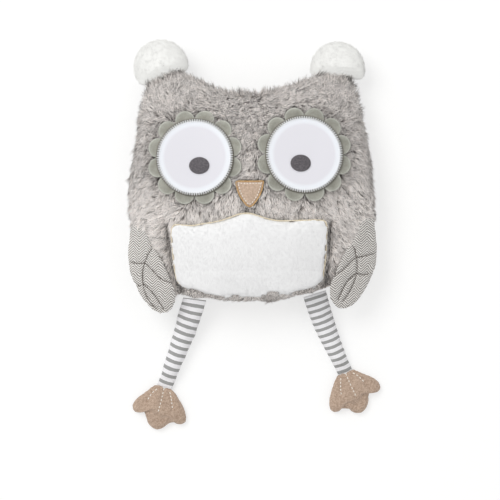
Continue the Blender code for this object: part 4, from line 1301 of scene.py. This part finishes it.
def makeFoot(side, linen, thread):
    ankle = Vector(joints["ankle_" + side]["pos_m"])
    lean = math.radians(footSet["lean"][side])
    toes = np.array((math.sin(lean), -math.cos(lean)))
    across = np.array((-toes[1], toes[0])) * outward[side]
    piece = link("foot_linen_" + side, outsideOf("foot_upper_" + side, "foot_sole_" + side), linen)
    remeshed(piece, footSet["voxel"], footSet["smoothing"])
    stuffed(piece, footFill)
    drawnOut(piece, smoothLoop(rimOf("foot_upper_" + side), 240), footSet["edgeWidth"], -footSet["fuller"])
    finer(piece)
    start = np.array(ankle.xy)
    lines = [curved([start + across * u * footSet["halfWidth"] + toes * v * footSet["length"]
                     for u, v in shares]) for shares in webLines]
    points, normals = coordinates(piece.data), coordinates(piece.data, "normal")
    sink = footSet["grooveDepth"] * np.exp(-(lineDistance(points, lines) / footSet["grooveWidth"]) ** 2)
    points -= normals * sink[:, None]
    points[:, 2] = np.maximum(points[:, 2], 0.0001)
    moveTo(piece.data, points)
    seam = surfaceStitches("foot_stitches_" + side, piece, lines, footSet["pitch"], 0.6,
                           footSet["stitch"], 0.0001, thread)
    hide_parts("foot_upper_" + side, "foot_sole_" + side, "foot_filling_" + side)
    for item in (piece, seam):
        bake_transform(item)


print("feet")
footLinen = linenMaterial("footLinen", *footSet["linen"], 0.0012)
creamThread = threadMaterial("creamThread", (254, 250, 242), (238, 229, 214))
for side in sides:
    makeFoot(side, footLinen, creamThread)

# Pompoms: long white fluff round a small core

pomSet = {"radius": 0.027, "core": 0.0286, "reach": 0.0302, "locks": 2200, "thickness": 0.00013,
          "spacing": 0.0040, "length": 0.0042, "lift": 0.30, "seatGap": 0.0004, "seatSoft": 0.005,
          "flat": 0.30, "flatReach": 0.012,
          "coreColour": (250, 250, 247), "up": 2.4, "upFrom": 0.9}


def pompomCentre(side):
    low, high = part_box("pompom_" + side)
    return Vector(((low.x + high.x) / 2, high.y - pomSet["radius"], high.z - pomSet["radius"]))


def pompomFlatness(side, points):   # the ball gets flatter towards the plane it is sewn on
    joint = joints[f"pompom_{side}_nod"]
    way = Vector(joint["axis"]).cross(Vector((0, 0, -1)))
    depth = (points - np.array(joint["pos_m"])) @ np.array(way)
    return pomSet["flat"] + (1 - pomSet["flat"]) * eased(depth, 0, pomSet["flatReach"])


def makePompom(side, fluff, inner):
    centre = pompomCentre(side)
    shape = bmesh.new()
    bmesh.ops.create_icosphere(shape, subdivisions=4, radius=pomSet["core"])
    bmesh.ops.translate(shape, verts=shape.verts, vec=centre)
    seat = np.array(joints[f"pompom_{side}_nod"]["pos_m"])
    hinge = Vector(joints[f"pompom_{side}_nod"]["axis"])
    way = np.array(hinge.cross(Vector((0, 0, -1))))

    def held(points):   # nothing crosses the plane in which the ball is sewn to its ear
        depth = (points - seat) @ way - pomSet["seatGap"]
        soft = pomSet["seatSoft"]
        kept = np.where(depth < soft, soft * np.exp(np.minimum(depth, soft) / soft - 1), depth)
        points = points + way * (kept - depth)[:, None]
        points[:, 2] = centre[2] + (points[:, 2] - centre[2]) * pompomFlatness(side, points)
        return points

    core = link("pompom_core_" + side, shape, inner)
    points = held(coordinates(core.data))
    points[:, 2] = np.maximum(points[:, 2], 0.0004)
    moveTo(core.data, points)
    soft = unit(points - np.array(centre))
    # The core is lit as the soft fluff round it is
    soft[:, 2] += pomSet["up"] * np.clip(soft[:, 2] + pomSet["upFrom"], 0, 1)
    turned = core.data.attributes.new("custom_normal", "FLOAT_VECTOR", "POINT")
    turned.data.foreach_set("vector", unit(soft).astype(np.float32).ravel())
    roots, normals = scattered(core, pomSet["locks"], {"left": 41, "right": 42}[side])
    outer = unit(roots - np.array(centre))
    keep = (roots - seat) @ way > 0.002
    roots, normals = roots[keep], outer[keep]
    draw = np.random.default_rng({"left": 43, "right": 44}[side])
    centres, nearest = tufts(roots, pomSet["spacing"], 45)
    ways = draw.normal(size=centres.shape)[nearest] + 0.7 * draw.normal(size=normals.shape)
    ways = tangent(ways, normals)
    lift = pomSet["lift"] * (0.6 + 0.8 * draw.random(len(roots)))[:, None]
    length = pomSet["length"] * (0.7 + 0.5 * draw.random(len(roots)))
    tips = roots + length[:, None] * (ways * np.sqrt(1 - lift ** 2) + normals * lift)
    away = tips - np.array(centre)
    far = np.linalg.norm(away, axis=1, keepdims=True)
    tips = held(np.array(centre) + away * np.minimum(1, pomSet["reach"] / far))
    bends = held(roots + length[:, None] * (normals * 0.2 + ways * 0.25))
    tints = mottled(draw, centres, nearest)
    pile = {"radius": pomSet["thickness"], "fullness": 2.4, "cuts": 1, "level": 1.0, "up": pomSet["up"],
            "upFrom": pomSet["upFrom"]}
    fluffy = lockPiece("pompom_fluff_" + side, roots - normals * 0.0004, bends, tips, normals,
                       pile, tints, fluff)
    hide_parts("pompom_" + side)
    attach(core, "pompom_" + side)
    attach(fluffy, "pompom_" + side)
    tie = nodes["pompom_tie_" + side]
    tie.data.materials.clear()
    tie.data.materials.append(whiteThread)


print("pompoms")
fluff = pileMaterial("whiteFluff")
coreCloth = backingMaterial("pompomCore", pomSet["coreColour"], 0.98, 0)
for side in sides:
    makePompom(side, fluff, coreCloth)

# Fur: tufts of brushed grey pile over the whole body, pressed down under what is sewn on it

furSet = {"locks": 125000, "length": 0.0088, "radius": 0.00043, "fullness": 2.2, "cuts": 1,
          "level": 0.42, "up": 0.5, "upFrom": 0.4, "spacing": 0.0026, "lift": 0.34,
          "together": 0.70, "clear": 0.0012, "frontFrom": 0.03, "roomReach": 0.03, "shorter": 0.72,
          "overlap": 0.0034, "edgeLift": 0.34, "edgeReach": 0.0045, "rimLift": 0.22,
          "pomOver": 0.0012, "pomReach": 0.013, "pomLonger": 0.35, "zone": 19000}


# Which way the fur is brushed: down the body, outwards at its sides and up at the ears
def brushed(roots):
    across, height = roots[:, 0] / bodyHalf.x, roots[:, 1] / bodyHalf.y
    toEar = eased(height, 0.42, 0.80) * eased(abs(across), 0.22, 0.62)
    overTop = eased(height, 0.62, 0.78) * (1 - eased(abs(across), 0.30, 0.55))
    turn = math.radians(48) * across + np.tanh(across / 0.12) * (math.radians(118) * toEar
                                                                 + math.radians(66) * overTop)
    turn += math.radians(26) * ripple(roots, 0.045, 3)
    return np.column_stack([np.sin(turn), -np.cos(turn), np.zeros(len(roots))])


def headroom(roots, covers):   # how much space the pile has under what lies over it
    tree = treeOf(*covers)
    room = np.full(len(roots), 1.0)
    for k, root in enumerate(roots):
        if root[2] > furSet["frontFrom"]:
            hit = tree.ray_cast(Vector(root), Vector((0, 0, 1)), furSet["roomReach"])
            if hit[0]:
                room[k] = hit[3]
    return room


def makeFur():
    roots, normals = scattered(bodyCloth, furSet["locks"], 11)
    draw = np.random.default_rng(12)
    flat = [piece for pair in eyes for piece in pair] + [*beakPieces, panelPad]
    room = headroom(roots, flat + wings)
    inner = [headroom(roots + np.array(step), flat) for step in
             ((0.006, 0, 0), (-0.006, 0, 0), (0, 0.006, 0), (0, -0.006, 0))]
    buried = np.min([room < 1, *[gap < 1 for gap in inner]], axis=0)
    buried &= headroom(roots, flat) < 1
    keep = ~buried.astype(bool)
    roots, normals, room = roots[keep], normals[keep], room[keep]
    count = len(roots)
    onFront = roots[:, 2] > furSet["frontFrom"]
    centres, nearest = tufts(roots, furSet["spacing"], 13)
    messy = 1 + 0.9 * eased(roots[:, 1] / bodyHalf.y, 0.1, 0.5)
    turn = (draw.normal(0, 0.36, len(centres))[nearest] + draw.normal(0, 0.26, count)) * messy
    ways = tangent(brushed(roots), normals)
    ways = unit(ways * np.cos(turn)[:, None] + np.cross(normals, ways) * np.sin(turn)[:, None])
    length = furSet["length"] * (0.75 + 0.3 * draw.random(len(centres))[nearest]
                                 + 0.25 * draw.random(count))
    lift = furSet["lift"] * (0.7 + 0.6 * draw.random(len(centres))[nearest])
    sewnEdges = [np.array([*line, line[0]]) for line in sewnLines]
    edgeGap = lineDistance(roots, sewnEdges)
    beside = np.exp(-(edgeGap / furSet["edgeReach"]) ** 2) * onFront
    lift += furSet["edgeLift"] * beside
    rim = eased(1 - abs(normals[:, 2]), 0.45, 0.95)   # ragged along the outline
    rise = roots[:, 1] / bodyHalf.y
    crown = eased(rise, 0.6, 0.8) * (1 - eased(abs(roots[:, 0]) / bodyHalf.x, 0.4, 0.6))
    lift += furSet["rimLift"] * rim * (1 + 0.7 * crown + 2 * crown * np.exp(-(roots[:, 0] / 0.02) ** 2))
    length = length * (1 + rim * (0.9 * draw.random(count) - 0.5))
    hips = np.array([joints["hip_" + side]["pos_m"][:2] for side in sides])
    near = np.min([np.hypot(*(roots[:, :2] - hip).T) for hip in hips], axis=0)
    length = length * (1 - 0.6 * (1 - eased(near, 0.016, 0.028)))   # pressed short over the legs
    length = length * (1 - 0.4 * np.exp(-((roots[:, 1] + 0.016) / 0.02) ** 2) * (roots[:, 0] > 0.1))
    below = np.exp(-(lineDistance(roots, [np.array(panelSet["lowerEdge"])]) / 0.005) ** 2)
    length = length * (1 - 0.45 * below * onFront)
    space = np.maximum(room - furSet["clear"], 0.0002) / length
    lift = np.clip(lift, 0, 0.92)
    lift, stand = np.minimum(lift, space), np.minimum(0.34 + 0.25 * beside, space)
    crisp = treeOf(*[pair[1] for pair in eyes], *beakPieces, panelPad)
    felts = treeOf(*[pair[0] for pair in eyes])
    for side in sides:
        near = np.hypot(*(roots[:, :2] - np.array(joints[f"pompom_{side}_nod"]["pos_m"][:2])).T)
        over = roots[:, 2] > pompomCentre(side).z - 0.002   # longer over the ball, short behind it
        length = length * (1 + np.where(over, furSet["pomLonger"], -0.65) * (1 - eased(near, 0.018, 0.034)))
    eye = nodeCentre("eye_white_left")
    lower = eased(roots[:, 1] - eye.y, 0, 0.02) * (roots[:, 0] < -0.02)   # fur hangs over the upper petals
    overlap = furSet["overlap"] * (1 + 0.9 * lower)
    for _ in range(4):   # hairs that would lie over a sewn piece are cut shorter
        flat = ways * np.sqrt(1 - lift ** 2)[:, None]
        over = np.zeros(count, bool)
        for tree, spare in ((crisp, -0.0004), (felts, overlap)):
            reach = roots + flat * np.maximum(length - spare, 0)[:, None]
            for k in np.nonzero(onFront & (room >= 1) & ~over)[0]:
                over[k] = fromAbove(tree, *reach[k, :2])[0] is not None
        length = np.where(over, length * furSet["shorter"], length)
    leaning = ways * np.sqrt(1 - lift ** 2)[:, None] + normals * lift[:, None]
    tips = roots + length[:, None] * leaning
    together = np.where(room < 1, 0, furSet["together"])[:, None]
    tips += (centres[nearest] + length[:, None] * leaning - tips) * together
    bends = roots + length[:, None] * (normals * stand[:, None] + ways * 0.28)
    for side in sides:   # the ear's fur lies over the ball's lower edge
        ball = pompomCentre(side)
        over = roots[:, 2] > ball.z - 0.002
        for points in (bends, tips):
            apart = np.hypot(*(points[:, :2] - np.array(ball)[:2]).T)
            dome = np.sqrt(np.clip((pomSet["core"] + furSet["pomOver"]) ** 2 - apart ** 2, 0, None))
            short = ball.z + dome * pompomFlatness(side, points) + furSet["pomOver"] - points[:, 2]
            within = over & (dome > 0) & (short < furSet["pomReach"])
            points[:, 2] += np.where(within, np.clip(short, 0, None), 0)
    # painted shade: the fur along the creases beside the belly panel is darkened
    creaseShade = np.exp(-(lineDistance(roots, [curved(line) for line in creaseLines]) / 0.0022) ** 2)
    creaseShade *= roots[:, 2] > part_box("body_back")[1].z
    brow = eased(rise, 0.3, 0.5)
    tints = np.clip(0.58 + (1 + 0.4 * brow) * (0.26 * draw.normal(size=len(centres))[nearest]
                    + 0.32 * draw.normal(size=count)) + 0.15 * ripple(roots, 0.05, 14), 0, 1)
    tints -= 0.8 * (draw.random(count) < 0.12) + 0.55 * (draw.random(len(centres)) < 0.10)[nearest]
    tints += 0.34 * (1 - eased(rise, -0.1, 0.2)) - 0.04 * brow * (1 - eased(rise, 0.7, 0.9))
    # painted shade: fur darkened in the creases and just outside the felt petals and the beak's border
    tints -= 1.5 * creaseShade + 0.6 * np.exp(-(edgeGap / 0.0019) ** 2) * onFront
    roots = roots - normals * 0.0008
    material = pileMaterial("greyFur")
    front = roots[:, 2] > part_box("body_back")[1].z * 0.9
    for label, side in (("front", front), ("back", ~front)):
        order = np.nonzero(side)[0][np.argsort(-roots[side, 1], kind="stable")]
        for number, zone in enumerate(np.array_split(order, -(-len(order) // furSet["zone"]))):
            piece = lockPiece(f"fur_{label}_{number + 1}", roots[zone], bends[zone], tips[zone],
                              normals[zone], furSet, tints[zone], material)
            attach(piece, "body")
            print(piece.name, len(piece.data.polygons))


print("fur")
sewnLines = [np.array(petalLine(nodeCentre("eye_white_" + side)))[:, :2] for side in sides]
sewnLines.append(smoothLoop(rimOf("beak_border"), 120)[:, :2])
makeFur()
